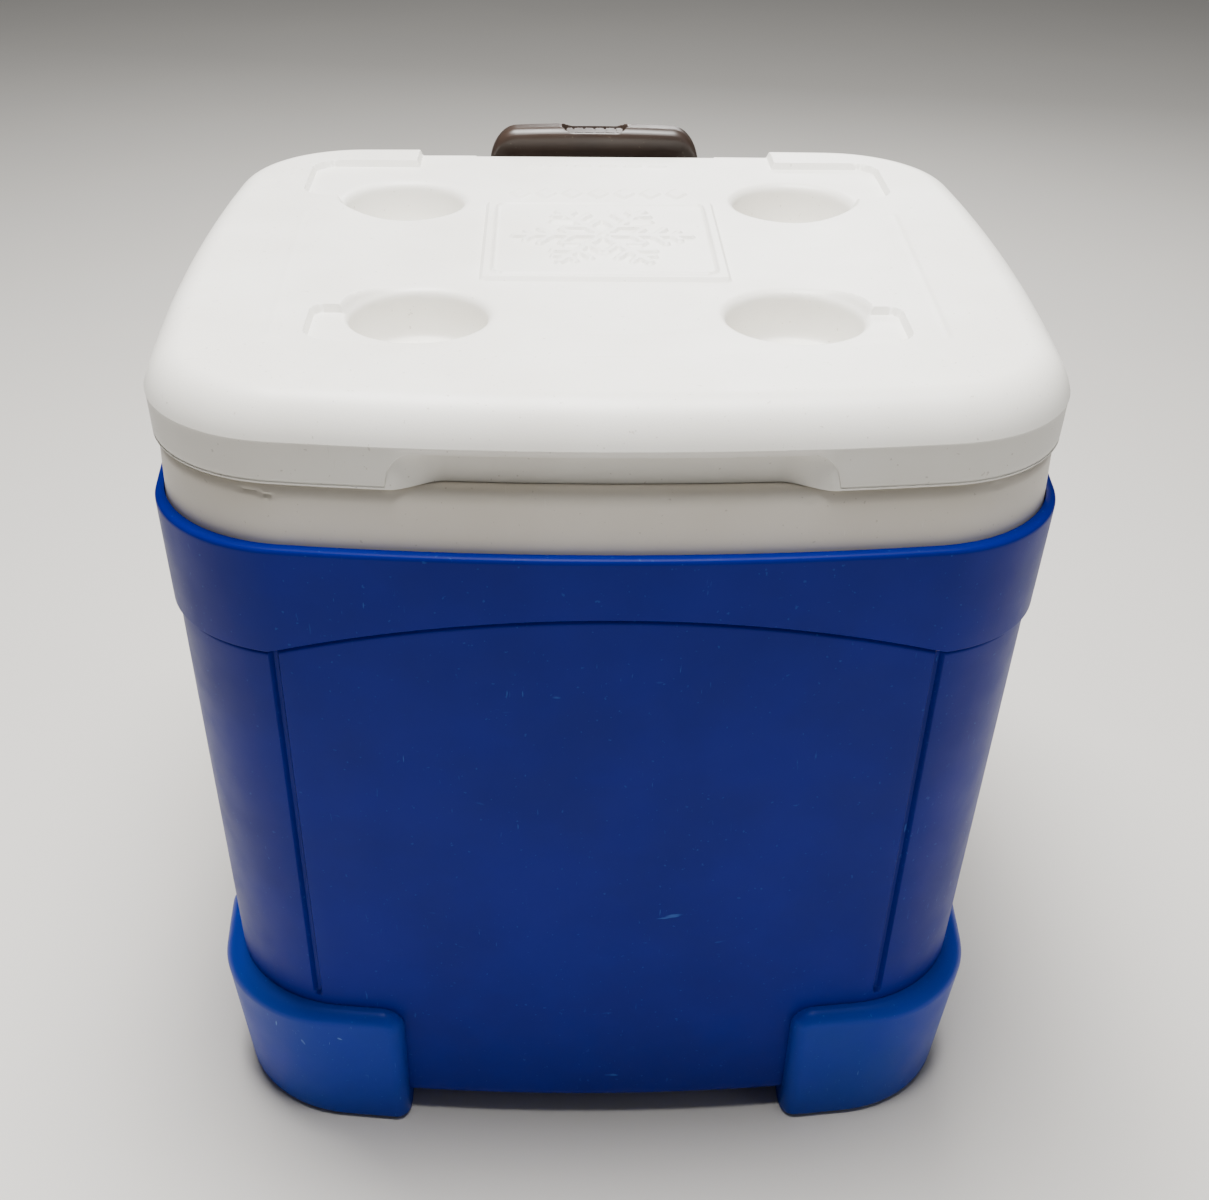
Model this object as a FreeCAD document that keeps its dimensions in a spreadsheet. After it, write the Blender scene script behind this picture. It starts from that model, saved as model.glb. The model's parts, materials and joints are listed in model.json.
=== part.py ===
import FreeCAD, Part
import math
import os
import Sketcher

# Insulated cooler on two wheels, +Z up, front towards -Y, millimetres.
# The origin is on the floor, under the middle of the outer box of the cooler.

Vector = FreeCAD.Vector
document = FreeCAD.newDocument("cooler_on_wheels")


# ---------------------------------------------------------------- driving dimensions
DIMENSIONS = {
    # bow of the long edges seen from above
    "front_bow": 1250.0, "side_bow": 1606.0, "rear_bow": 6000.0,
    # lid
    "lid_half": 235.0, "lid_front": -230.0, "lid_rear": 199.5, "lid_corner": 80.0,
    "lid_edge": 471.0, "lid_top": 515.0, "lid_crown": 21.0, "lid_wall": 3.0,
    "tray_depth": 4.0, "cup_radius": 35.5, "cup_wall": 2.5, "cup_depth": 27.0,
    "cup_front_x": 97.0, "cup_front_y": -103.1, "cup_rear_x": 118.0, "cup_rear_y": 85.3,
    "finger_half": 82.0, "finger_flare": 24.0, "finger_top": 490.0, "finger_back": -216.0,
    "notch_half": 78.0, "notch_wall": 178.5, "panel_thick": 2.5, "plug_depth": 8.5,
    "plug_gap": 4.0,
    # white liner with its collar
    "collar_half": 232.0, "collar_front": -226.0, "collar_rear": 212.0, "collar_corner": 78.0,
    "collar_top": 470.7, "collar_foot": 435.0, "collar_shoulder": 8.0, "liner_wall": 2.5,
    "tub_half_top": 206.0, "tub_front_top": -200.0, "tub_rear_top": 164.0,
    "tub_half_low": 172.0, "tub_front_low": -146.0, "tub_rear_low": 150.0,
    "tub_floor": 50.0, "tub_corner": 50.0,
    # blue outer shell
    "shell_floor": 15.0, "rim_top": 438.6, "shell_wall": 3.0,
    "shell_half_low": 226.0, "shell_front_low": -169.4, "shell_rear_low": 213.5,
    "shell_half_top": 234.5, "shell_front_top": -229.0, "shell_rear_top": 215.5,
    "shell_corner": 78.0, "shell_corner_rear": 62.0,
    "rim_half": 236.7, "rim_front": -232.5, "rim_rear": 217.3,
    "band_low": 360.0, "band_half_low": 234.6, "band_front_low": -221.4,
    "arch_low": 373.6, "arch_high": 401.8, "arch_half": 170.0,
    "groove_x": 168.0, "groove_low": 105.0, "groove_high": 372.0, "groove_wide": 4.0,
    "groove_deep": 1.6, "foot_top": 97.0, "foot_inner": 117.0, "foot_back": -54.0,
    "foot_chamfer": 12.0, "foot_half_low": 230.0, "foot_half_top": 238.4,
    "foot_front_low": -179.0, "foot_front_top": -190.0, "foot_round": 9.0,
    # recess for the pull handle in the back
    "channel_half": 80.0, "channel_front": 181.0, "channel_floor": 92.0,
    # wheels and axle
    "axle_y": 176.5, "axle_z": 56.0, "axle_radius": 4.75, "axle_half": 230.0,
    "wheel_radius": 56.0, "tyre_inner": 46.0, "wheel_side": 189.5, "wheel_wide": 36.0,
    "well_side": 185.0, "well_radius": 66.0, "slot_radius": 5.2,
    # pull handle
    "tube_x": 48.0, "tube_y": 205.0, "outer_tube_r": 11.0, "outer_bore_r": 9.6,
    "mid_tube_r": 9.5, "mid_bore_r": 8.3, "inner_tube_r": 8.2, "inner_bore_r": 7.0,
    "grip_half": 70.0, "grip_low": 484.0, "grip_top": 525.0,
    "grip_arch": 497.0, "grip_gap_half": 38.0,
    "button_half": 18.5, "button_top": 521.5, "yoke_low": 507.0, "yoke_top": 511.0,
    "pin_z": 122.0, "pin_radius": 3.0,
    # lid hinges
    "hinge_y": 224.6, "hinge_z": 490.0, "hinge_x": 120.0, "hinge_half": 27.0,
    "knuckle_radius": 6.0, "hinge_pin_r": 2.5,
    # drain in the left wall
    "drain_y": 60.0, "drain_z": 66.0, "drain_bore": 8.0, "drain_tube": 11.0,
}


class Size:
    """A length that keeps its number beside the formula that the sheet works out."""

    def __init__(self, number, text):
        self.number = number
        self.text = text

    def __add__(self, other):
        other = as_size(other)
        return Size(self.number + other.number, f"({self.text} + {other.text})")

    def __sub__(self, other):
        other = as_size(other)
        return Size(self.number - other.number, f"({self.text} - {other.text})")

    def __mul__(self, other):
        other = as_size(other)
        return Size(self.number * other.number, f"({self.text} * {other.text})")

    def __rsub__(self, other):
        return as_size(other) - self

    def __neg__(self):
        return as_size(0) - self

    __radd__ = __add__
    __rmul__ = __mul__


def as_size(value):
    return value if isinstance(value, Size) else Size(float(value), f"{float(value):.4f}")


class Sheet:
    """The driving dimensions, each one an attribute that carries its cell's name."""

    def __init__(self, values):
        cells = document.addObject("Spreadsheet::Sheet", "Sizes")
        for row, (alias, number) in enumerate(values.items(), start=1):
            cells.set(f"A{row}", alias)
            cells.set(f"B{row}", str(number))
            cells.setAlias(f"B{row}", alias)
            setattr(self, alias, Size(number, f"Sizes.{alias}"))
        document.recompute()


D = Sheet(DIMENSIONS)
SIDES = {"left": -1, "right": 1}


def bind(thing, name, value):
    """Give a property its value, and its formula too where it has one."""
    thing.setExpression(name, as_size(value).text)


# ---------------------------------------------------------------- solids and booleans
def place(thing, x, y, z, turn=None):
    if turn is not None:
        thing.Placement = FreeCAD.Placement(Vector(0, 0, 0), turn)
    for axis, value in zip("xyz", (x, y, z)):
        bind(thing, f"Placement.Base.{axis}", value)


def box(name, x_span, y_span, z_span):
    solid = document.addObject("Part::Box", name)
    for side, (low, high) in zip(("Length", "Width", "Height"), (x_span, y_span, z_span)):
        bind(solid, side, as_size(high) - low)
    place(solid, x_span[0], y_span[0], z_span[0])
    return solid


ALONG = {
    "X": FreeCAD.Rotation(Vector(0, 1, 0), 90),
    "Y": FreeCAD.Rotation(Vector(1, 0, 0), -90),
    "Z": FreeCAD.Rotation(),
}


def rod(name, axis, start, length, radius):
    """A cylinder that runs along one axis from its start point."""
    solid = document.addObject("Part::Cylinder", name)
    bind(solid, "Radius", radius)
    bind(solid, "Height", length)
    place(solid, *start, turn=ALONG[axis])
    return solid


def fuse(name, shapes):
    joined = document.addObject("Part::MultiFuse", name)
    joined.Shapes = shapes
    return joined


def common(name, shapes):
    shared = document.addObject("Part::MultiCommon", name)
    shared.Shapes = shapes
    return shared


def cut(name, base, tools):
    rest = document.addObject("Part::Cut", name)
    rest.Base = base
    rest.Tool = tools[0] if len(tools) == 1 else fuse(f"{name}_tools", tools)
    return rest


def group(name, shapes):
    bundle = document.addObject("Part::Compound", name)
    bundle.Links = shapes
    return bundle


NODES = []


def node(label, solid):
    """Name a finished piece."""
    solid.Label = label
    NODES.append(solid)
    return solid


# ---------------------------------------------------------------- sketched bodies
def new_body(name):
    return document.addObject("PartDesign::Body", name)


def new_sketch(body, name, role, offset=0):
    sketch = body.newObject("Sketcher::SketchObject", name)
    plane = [part for part in body.Origin.OriginFeatures if part.Role == role][0]
    sketch.AttachmentSupport = [(plane, "")]
    sketch.MapMode = "FlatFace"
    bind(sketch, "AttachmentOffset.Base.z", offset)
    return sketch


def dimension(sketch, kind, first, value):
    """Add a constraint whose size follows the sheet."""
    value = as_size(value)
    index = sketch.addConstraint(Sketcher.Constraint(kind, *first, value.number))
    name = f"size_{index}"
    sketch.renameConstraint(index, name)
    sketch.setExpression(f"Constraints.{name}", value.text)


def fix_point(sketch, index, position, spot):
    """Hold one point of a sketch at a place measured from the sketch's origin."""
    for kind, axis, value in (("DistanceX", -2, spot[0]), ("DistanceY", -1, spot[1])):
        if abs(as_size(value).number) < 1e-9:
            sketch.addConstraint(Sketcher.Constraint("PointOnObject", index, position, axis))
        else:
            dimension(sketch, kind, (-1, 1, index, position), value)


def polygon(sketch, corners):
    spots = [Vector(as_size(x).number, as_size(y).number, 0) for x, y in corners]
    count = len(spots)
    for index in range(count):
        edge = Part.LineSegment(spots[index], spots[(index + 1) % count])
        sketch.addGeometry(edge)
    for index in range(count):
        after = (index + 1) % count
        sketch.addConstraint(Sketcher.Constraint("Coincident", index, 2, after, 1))
    for index, corner in enumerate(corners):
        fix_point(sketch, index, 1, corner)


def circle(sketch, centre, radius):
    spot = Vector(as_size(centre[0]).number, as_size(centre[1]).number, 0)
    index = sketch.addGeometry(Part.Circle(spot, Vector(0, 0, 1), as_size(radius).number))
    fix_point(sketch, index, 3, centre)
    dimension(sketch, "Radius", (index,), radius)


def nearest_corner(long_arc, short_arc, corner_radius, side_x, side_y):
    """Centre of the small circle that touches two large ones from inside."""
    (first_x, first_y, first_r), (second_x, second_y, second_r) = long_arc, short_arc
    reach_a = first_r - corner_radius
    reach_b = second_r - corner_radius
    gap_x = second_x - first_x
    gap_y = second_y - first_y
    gap = math.hypot(gap_x, gap_y)
    along = (reach_a ** 2 - reach_b ** 2 + gap ** 2) / (2 * gap)
    aside = math.sqrt(reach_a ** 2 - along ** 2)
    unit_x = gap_x / gap
    unit_y = gap_y / gap
    spots = []
    for way in (1, -1):
        x = first_x + unit_x * along - way * unit_y * aside
        y = first_y + unit_y * along + way * unit_x * aside
        spots.append((x, y))
    return max(spots, key=lambda spot: spot[0] * side_x + spot[1] * side_y)


def bowed_outline(sketch, half, front, rear, corner, corner_rear):
    """A rounded rectangle whose four long edges bow outwards: eight tangent arcs."""
    middle = (as_size(front) + rear) * 0.5
    front_y = as_size(front) + D.front_bow
    rear_y = as_size(rear) - D.rear_bow
    side_x = as_size(half) - D.side_bow
    front_arc = (0.0, front_y.number, D.front_bow.number)
    rear_arc = (0.0, rear_y.number, D.rear_bow.number)
    right_arc = (side_x.number, middle.number, D.side_bow.number)
    left_arc = (-side_x.number, middle.number, D.side_bow.number)
    small = as_size(corner).number
    small_rear = as_size(corner_rear).number
    corners = [
        nearest_corner(front_arc, right_arc, small, 1, -1),
        nearest_corner(rear_arc, right_arc, small_rear, 1, 1),
        nearest_corner(rear_arc, left_arc, small_rear, -1, 1),
        nearest_corner(front_arc, left_arc, small, -1, -1),
    ]
    bows = [front_arc, right_arc, rear_arc, left_arc]
    arcs = []
    for index, bow in enumerate(bows):
        arcs.append(bow)
        radius = small_rear if index in (1, 2) else small
        arcs.append((*corners[index], radius))
    joints = []
    for index, (x, y, radius) in enumerate(arcs):
        after = arcs[(index + 1) % 8]
        large, little = ((x, y), after) if index % 2 == 0 else (after, (x, y))
        joints.append(math.atan2(little[1] - large[1], little[0] - large[0]))
    for index, (x, y, radius) in enumerate(arcs):
        start = joints[index - 1]
        stop = joints[index]
        stop += 2 * math.pi * (stop < start)
        ring = Part.Circle(Vector(x, y, 0), Vector(0, 0, 1), radius)
        sketch.addGeometry(Part.ArcOfCircle(ring, start, stop))
    for index in range(8):
        after = (index + 1) % 8
        sketch.addConstraint(Sketcher.Constraint("Tangent", index, 2, after, 1))
    radii = [D.front_bow, corner, D.side_bow, corner_rear, D.rear_bow, corner_rear,
             D.side_bow, corner]
    for index, radius in enumerate(radii):
        dimension(sketch, "Radius", (index,), radius)
    centres = {0: (0, front_y), 4: (0, rear_y), 2: (side_x, middle), 6: (-side_x, middle)}
    for index, spot in centres.items():
        fix_point(sketch, index, 3, spot)


def outline_level(body, name, level):
    z, half, front, rear, corner, corner_rear = level
    sketch = new_sketch(body, name, "XY_Plane", z)
    bowed_outline(sketch, half, front, rear, corner, corner_rear)
    return sketch


def outline_loft(name, low, *higher):
    """A tapered block through two or more bowed outlines."""
    body = new_body(name)
    bottom = outline_level(body, f"{name}_low", low)
    loft = body.newObject("PartDesign::AdditiveLoft", f"{name}_loft")
    loft.Profile = bottom
    loft.Sections = [outline_level(body, f"{name}_high_{index}", level)
                     for index, level in enumerate(higher)]
    loft.Ruled = True
    return body


def outline_pad(name, level, height):
    """An upright block on a bowed outline."""
    body = new_body(name)
    sketch = outline_level(body, f"{name}_low", level)
    pad = body.newObject("PartDesign::Pad", f"{name}_pad")
    pad.Profile = sketch
    bind(pad, "Length", height)
    return body


def edges_at_height(body, z):
    """Names of the edges that lie level at one height."""
    document.recompute()
    names = []
    for index, edge in enumerate(body.Shape.Edges, start=1):
        box_of_edge = edge.BoundBox
        if abs(box_of_edge.ZMin - z) < 0.01 and abs(box_of_edge.ZMax - z) < 0.01:
            names.append(f"Edge{index}")
    return names


def round_rim(body, z, radius):
    """Round every edge of a body that lies at one height."""
    feature = body.Tip
    names = edges_at_height(body, as_size(z).number)
    fillet = body.newObject("PartDesign::Fillet", f"{body.Name}_round")
    fillet.Base = (feature, names)
    bind(fillet, "Radius", radius)


def prism(name, role, corners, start, length):
    """A straight-edged profile pushed along the normal of its plane."""
    body = new_body(name)
    sketch = new_sketch(body, f"{name}_profile", role, start)
    polygon(sketch, corners)
    pad = body.newObject("PartDesign::Pad", f"{name}_pad")
    pad.Profile = sketch
    bind(pad, "Length", length)
    return body


def revolve(name, corners, centre):
    """A profile of (place along X, radius) turned about a line along X."""
    body = new_body(name)
    sketch = new_sketch(body, f"{name}_profile", "XY_Plane")
    polygon(sketch, corners)
    turned = body.newObject("PartDesign::Revolution", f"{name}_turn")
    turned.Profile = sketch
    turned.ReferenceAxis = (sketch, ["H_Axis"])
    turned.Angle = 360
    place(body, *centre)
    return body


def inset(level, amount):
    """The same outline drawn in by an amount all round."""
    z, half, front, rear, corner, corner_rear = level
    return (z, as_size(half) - amount, as_size(front) + amount, as_size(rear) - amount,
            as_size(corner) - amount, as_size(corner_rear) - amount)


def at_height(level, z):
    return (z, *level[1:])


# ---------------------------------------------------------------- screws
SHANK_RADIUS = 2.0
HEAD_RADIUS = 4.0
HEAD_HIGH = 2.4
SLOT_WIDE = 1.1
SLOT_LONG = 5.0
SLOT_DEEP = 1.4
BORE_CLEARANCE = 0.05


def shifted(spot, axis, amount):
    return [as_size(at) + amount * (letter == axis) for at, letter in zip(spot, "XYZ")]


def cross_slot(name, axis, spot, outward):
    """Two crossed slots that run out of the top of a head."""
    low = HEAD_HIGH - SLOT_DEEP if outward > 0 else -HEAD_HIGH - 1
    slots = []
    for turned in (0, 1):
        halves = [SLOT_WIDE / 2, SLOT_LONG / 2]
        if turned:
            halves.reverse()
        spans = []
        for at, letter in zip(spot, "XYZ"):
            middle = as_size(at)
            if letter == axis:
                spans.append((middle + low, middle + low + SLOT_DEEP + 1))
            else:
                half = halves.pop(0)
                spans.append((middle - half, middle + half))
        slots.append(box(f"{name}_{turned}", *spans))
    return slots


def screws(name, axis, outward, spots, length):
    """Pan-head screws as one node, and the tool that bores their holes.

    Each spot is the seat of a head; outward is the way the head points along the axis.
    """
    solids = []
    bores = []
    for index, spot in enumerate(spots):
        tag = f"{name}_{index}"
        head_spot = shifted(spot, axis, 0 if outward > 0 else -HEAD_HIGH)
        shank_spot = shifted(spot, axis, -length if outward > 0 else 0)
        blank = fuse(f"{tag}_blank", [
            rod(f"{tag}_head", axis, head_spot, HEAD_HIGH, HEAD_RADIUS),
            rod(f"{tag}_shank", axis, shank_spot, length, SHANK_RADIUS),
        ])
        solids.append(cut(tag, blank, cross_slot(f"{tag}_slot", axis, spot, outward)))
        bores.append(rod(f"{tag}_bore", axis, shank_spot, length, SHANK_RADIUS + BORE_CLEARANCE))
    node(name, group(f"{name}_group", solids))
    return fuse(f"{name}_bores", bores)


# ---------------------------------------------------------------- outlines by height
LID = (D.lid_edge, D.lid_half, D.lid_front, D.lid_rear, D.lid_corner, D.lid_corner)
COLLAR = (D.collar_foot, D.collar_half, D.collar_front, D.collar_rear, D.collar_corner,
          D.shell_corner_rear)
TUB_LOW = (D.tub_floor, D.tub_half_low, D.tub_front_low, D.tub_rear_low, D.tub_corner,
           D.tub_corner)
TUB_TOP = (D.collar_top, D.tub_half_top, D.tub_front_top, D.tub_rear_top, D.tub_corner,
           D.tub_corner)
SHELL_LOW = (D.shell_floor, D.shell_half_low, D.shell_front_low, D.shell_rear_low,
             D.shell_corner, D.shell_corner_rear)
SHELL_TOP = (D.rim_top, D.shell_half_top, D.shell_front_top, D.shell_rear_top,
             D.shell_corner, D.shell_corner_rear)
BAND_LOW = (D.band_low, D.band_half_low, D.band_front_low, D.rim_rear, D.shell_corner,
            D.shell_corner_rear)
BAND_TOP = (D.rim_top, D.rim_half, D.rim_front, D.rim_rear, D.shell_corner,
            D.shell_corner_rear)
RIM_INSIDE = (D.rim_top, D.collar_half + 0.4, D.collar_front - 1, D.collar_rear + 0.4,
              D.collar_corner, D.shell_corner_rear)
FOOT_LOW = (0, D.foot_half_low, D.foot_front_low, D.shell_rear_low, D.shell_corner,
            D.shell_corner_rear)
FOOT_WIDE = (D.foot_top - D.foot_round, D.foot_half_top, D.foot_front_top, D.shell_rear_low,
             D.shell_corner, D.shell_corner_rear)
FAR = 300
SHOULDER_STEPS = 3


# ---------------------------------------------------------------- spaces cut in the body
def wheel_wells(name, grow):
    """The room round each wheel, open below, behind and to the side."""
    spaces = []
    radius = D.well_radius + grow
    for side, way in SIDES.items():
        inner = (D.well_side - grow) * way
        outer = as_size(FAR * way)
        x_span = (inner, outer) if way > 0 else (outer, inner)
        length = as_size(FAR) - D.well_side + grow
        spaces.append(rod(f"{name}_{side}_round", "X", (x_span[0], D.axle_y, D.axle_z),
                          length, radius))
        spaces.append(box(f"{name}_{side}_foot", x_span,
                          (D.axle_y - radius, FAR), (-FAR, D.axle_z)))
        spaces.append(box(f"{name}_{side}_back", x_span,
                          (D.axle_y, FAR), (-FAR, D.axle_z + radius)))
    return fuse(name, spaces)


def axle_slot(name, grow):
    """The slot under the body that the axle lies in, round at its top."""
    radius = D.slot_radius + grow
    half = D.well_side + 1
    return fuse(name, [
        rod(f"{name}_round", "X", (-half, D.axle_y, D.axle_z), half * 2, radius),
        box(f"{name}_below", (-half, half), (D.axle_y - radius, D.axle_y + radius),
            (-FAR, D.axle_z)),
    ])


def handle_channel(name, grow):
    """The upright recess in the back that holds the pull handle."""
    return box(name, (-D.channel_half - grow, D.channel_half + grow),
               (D.channel_front - grow, FAR), (D.channel_floor - grow, D.lid_top))


def drain_bore(name, radius):
    return rod(name, "X", (-FAR, D.drain_y, D.drain_z), FAR - 150, radius)


def body_spaces(name, grow):
    return [wheel_wells(f"{name}_wells", grow), axle_slot(f"{name}_slot", grow),
            handle_channel(f"{name}_channel", grow)]


# ---------------------------------------------------------------- blue outer shell
def arched_band():
    """The upper band, which stands proud above a line that arches over the front."""
    band = outline_loft("band", BAND_LOW, BAND_TOP)
    body = new_body("band_limit")
    sketch = new_sketch(body, "band_limit_profile", "XZ_Plane", -FAR)
    rise = D.arch_high.number - D.arch_low.number
    half = D.arch_half.number
    radius = (half ** 2 + rise ** 2) / (2 * rise)
    centre = Vector(0, D.arch_high.number - radius, 0)
    lean = math.asin(half / radius)
    far_up = D.rim_top.number + 20
    low = D.arch_low.number
    spots = [Vector(half, low, 0), Vector(FAR, low, 0), Vector(FAR, far_up, 0),
             Vector(-FAR, far_up, 0), Vector(-FAR, low, 0), Vector(-half, low, 0)]
    for first, second in zip(spots, spots[1:]):
        sketch.addGeometry(Part.LineSegment(first, second))
    ring = Part.Circle(centre, Vector(0, 0, 1), radius)
    sketch.addGeometry(Part.ArcOfCircle(ring, math.pi / 2 - lean, math.pi / 2 + lean))
    for index in range(4):
        sketch.addConstraint(Sketcher.Constraint("Coincident", index, 2, index + 1, 1))
    sketch.addConstraint(Sketcher.Constraint("Coincident", 4, 2, 5, 2))
    sketch.addConstraint(Sketcher.Constraint("Coincident", 5, 1, 0, 1))
    fix_point(sketch, 0, 1, (D.arch_half, D.arch_low))
    fix_point(sketch, 1, 1, (FAR, D.arch_low))
    fix_point(sketch, 2, 1, (FAR, D.rim_top + 20))
    fix_point(sketch, 3, 1, (-FAR, D.rim_top + 20))
    fix_point(sketch, 4, 1, (-FAR, D.arch_low))
    fix_point(sketch, 4, 2, (-D.arch_half, D.arch_low))
    dimension(sketch, "Radius", (5,), radius)
    pad = body.newObject("PartDesign::Pad", "band_limit_pad")
    pad.Profile = sketch
    bind(pad, "Length", 2 * FAR)
    return common("band_above_arch", [band, body])


def foot_shoulder():
    """Outlines that turn the top of the feet inwards in a quarter round."""
    levels = []
    for step in range(1, SHOULDER_STEPS + 1):
        turn = math.pi / 2 * step / SHOULDER_STEPS
        rise = D.foot_round * (1 - math.sin(turn))
        levels.append(at_height(inset(FOOT_WIDE, D.foot_round * (1 - math.cos(turn))),
                                D.foot_top - rise))
    return levels


def corner_feet():
    """The two front feet, which wrap round the corners of the body."""
    block = outline_loft("foot_block", FOOT_LOW, FOOT_WIDE, *foot_shoulder())
    inner = D.foot_inner
    step = D.foot_chamfer
    left = [(-FAR, -5), (-inner, -5), (-inner, D.foot_top - step),
            (-inner - step, D.foot_top), (-FAR, D.foot_top)]
    right = [(-x, z) for x, z in left]
    fronts = fuse("foot_fronts", [
        prism("foot_left_front", "XZ_Plane", left, -FAR, 2 * FAR),
        prism("foot_right_front", "XZ_Plane", right, -FAR, 2 * FAR),
    ])
    back = [(-FAR, -5), (D.foot_back, -5), (D.foot_back, D.foot_top - step),
            (D.foot_back - step, D.foot_top), (-FAR, D.foot_top)]
    sides = prism("foot_sides", "YZ_Plane", back, -FAR, 2 * FAR)
    return common("corner_feet", [common("foot_corners", [block, sides]), fronts])


def front_grooves():
    """The two upright grooves that frame the front panel."""
    lean = (D.shell_front_top.number - D.shell_front_low.number) / (
        D.rim_top.number - D.shell_floor.number)
    bow = D.front_bow.number - math.sqrt(D.front_bow.number ** 2 - D.groove_x.number ** 2)

    def surface(z):
        height = as_size(z) - D.shell_floor
        return D.shell_front_low + bow + height * lean

    low = D.groove_low
    high = D.groove_high
    profile = [(surface(low) - 10, low), (surface(low) + D.groove_deep, low),
               (surface(high) + D.groove_deep, high), (surface(high) - 10, high)]
    grooves = []
    for side, way in SIDES.items():
        start = D.groove_x * way - D.groove_wide * 0.5
        grooves.append(prism(f"groove_{side}", "YZ_Plane", profile, start, D.groove_wide))
    return grooves


def outer_shell(extra_bores):
    body = outline_loft("shell_body", SHELL_LOW, SHELL_TOP)
    outside = fuse("shell_outside", [body, arched_band(), corner_feet()])
    low_inside = inset(at_height(SHELL_LOW, D.shell_floor + D.shell_wall), D.shell_wall)
    inside = cut("shell_inside", outline_loft("shell_cavity", low_inside, RIM_INSIDE),
                 body_spaces("walls", D.shell_wall))
    seat_half = D.channel_half + D.shell_wall + 0.2
    collar_seat = box("collar_seat", (-seat_half, seat_half),
                      (D.channel_front - D.shell_wall - 0.2, FAR), (D.collar_foot - 0.3, FAR * 2))
    shell = cut("shell_hollow", outside, [inside, *body_spaces("spaces", 0), collar_seat,
                                          *front_grooves(),
                                          drain_bore("shell_drain", D.drain_tube + 0.3)])
    node("outer_shell", cut("outer_shell_solid", shell, extra_bores))


# ---------------------------------------------------------------- white liner and insulation
def inner_liner(extra_bores):
    height = D.collar_top - D.collar_foot
    wall = D.liner_wall
    collar = outline_pad("collar", COLLAR, height)
    round_rim(collar, D.collar_top, D.collar_shoulder)
    under = outline_pad("collar_under", inset(at_height(COLLAR, D.collar_foot - 1), wall),
                        height - wall + 1)
    round_rim(under, D.collar_top - wall, D.collar_shoulder - wall)
    collar_shell = cut("collar_shell", cut("collar_notched", collar, [
        handle_channel("collar_channel", 0)]), [
        cut("collar_hollow", under, [handle_channel("collar_channel_wall", wall)])])
    tub_block = outline_loft("tub_block", inset(at_height(TUB_LOW, D.tub_floor - wall), -wall),
                             inset(TUB_TOP, -wall))
    tub_space = outline_loft("tub_space", TUB_LOW, at_height(TUB_TOP, D.collar_top + 0.1))
    liner = cut("liner_blank", fuse("liner_block", [collar_shell, tub_block]),
                [tub_space, drain_bore("liner_drain", D.drain_tube + 0.3)])
    liner_pieces(cut("liner_bored", liner, extra_bores))


def liner_pieces(liner):
    """The liner in simple pieces, which meet face to face: floor, walls, corners, collar."""
    side = D.tub_half_low - D.tub_corner
    front = D.tub_front_low + D.tub_corner
    rear = D.tub_rear_low - D.tub_corner
    heights = (D.tub_floor, D.collar_foot)
    wide = (-FAR, FAR)
    node("liner_floor", common("liner_floor_solid", [
        liner, box("floor_part", wide, wide, (0, D.tub_floor))]))
    node("liner_collar", common("liner_collar_solid", [
        liner, box("collar_part", wide, wide, (D.collar_foot, FAR * 2))]))
    for label, x_span, y_span in (("wall_left", (-FAR, -side), (front, rear)),
                                  ("wall_right", (side, FAR), (front, rear)),
                                  ("wall_front", (-side, side), (-FAR, front)),
                                  ("wall_rear", (-side, side), (rear, FAR)),
                                  ("corner_front_left", (-FAR, -side), (-FAR, front)),
                                  ("corner_front_right", (side, FAR), (-FAR, front)),
                                  ("corner_rear_left", (-FAR, -side), (rear, FAR)),
                                  ("corner_rear_right", (side, FAR), (rear, FAR))):
        node(f"liner_{label}", common(f"liner_{label}_solid", [
            liner, box(f"{label}_part", x_span, y_span, heights)]))


def insulation_core(extra_bores):
    """Foam between the shell and the liner, with a hair of room round it."""
    gap = 0.3
    low = inset(at_height(SHELL_LOW, D.shell_floor + D.shell_wall + gap), D.shell_wall + gap)
    high = inset(at_height(RIM_INSIDE, D.collar_foot - gap), gap + 1)
    upper = outline_pad("foam_upper", inset(at_height(COLLAR, D.collar_foot - gap - 1),
                                            D.liner_wall + gap),
                        D.collar_top - D.collar_foot - D.liner_wall - D.collar_shoulder * 0.4)
    foam = cut("foam_outside", fuse("foam_block", [outline_loft("foam_lower", low, high), upper]),
               body_spaces("foam", D.shell_wall + gap))
    reach = D.liner_wall + gap
    tub = outline_loft("foam_tub", inset(at_height(TUB_LOW, D.tub_floor - reach), -reach),
                       inset(TUB_TOP, -reach))
    node("insulation_core", cut("insulation_core_solid", foam, [
        tub, drain_bore("foam_drain", D.drain_tube + 0.3), *extra_bores]))


# ---------------------------------------------------------------- lid
def cup_spots():
    spots = []
    for way in (-1, 1):
        spots.append((D.cup_front_x * way, D.cup_front_y))
        spots.append((D.cup_rear_x * way, D.cup_rear_y))
    return spots


def cups(name, radius, low, high):
    return [rod(f"{name}_{index}", "Z", (x, y, low), as_size(high) - low, radius)
            for index, (x, y) in enumerate(cup_spots())]


def finger_recess(name, grow):
    """The hand hold under the front edge, which runs out to nothing at both ends."""
    half = D.finger_half + grow
    end = half + D.finger_flare
    back = D.finger_back + grow
    mouth = D.finger_back - 10 + grow
    corners = [(-end, -FAR), (end, -FAR), (end, mouth), (half, back), (-half, back), (-end, mouth)]
    return prism(name, "XY_Plane", corners, D.lid_edge - 30, D.finger_top - D.lid_edge + 30 + grow)


def rear_notch(name, grow):
    """The gap in the back of the lid that clears the grip as the lid swings."""
    return box(name, (-D.notch_half - grow, D.notch_half + grow), (D.notch_wall - grow, FAR),
               (D.lid_edge - 30, D.lid_top + 20))


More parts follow.
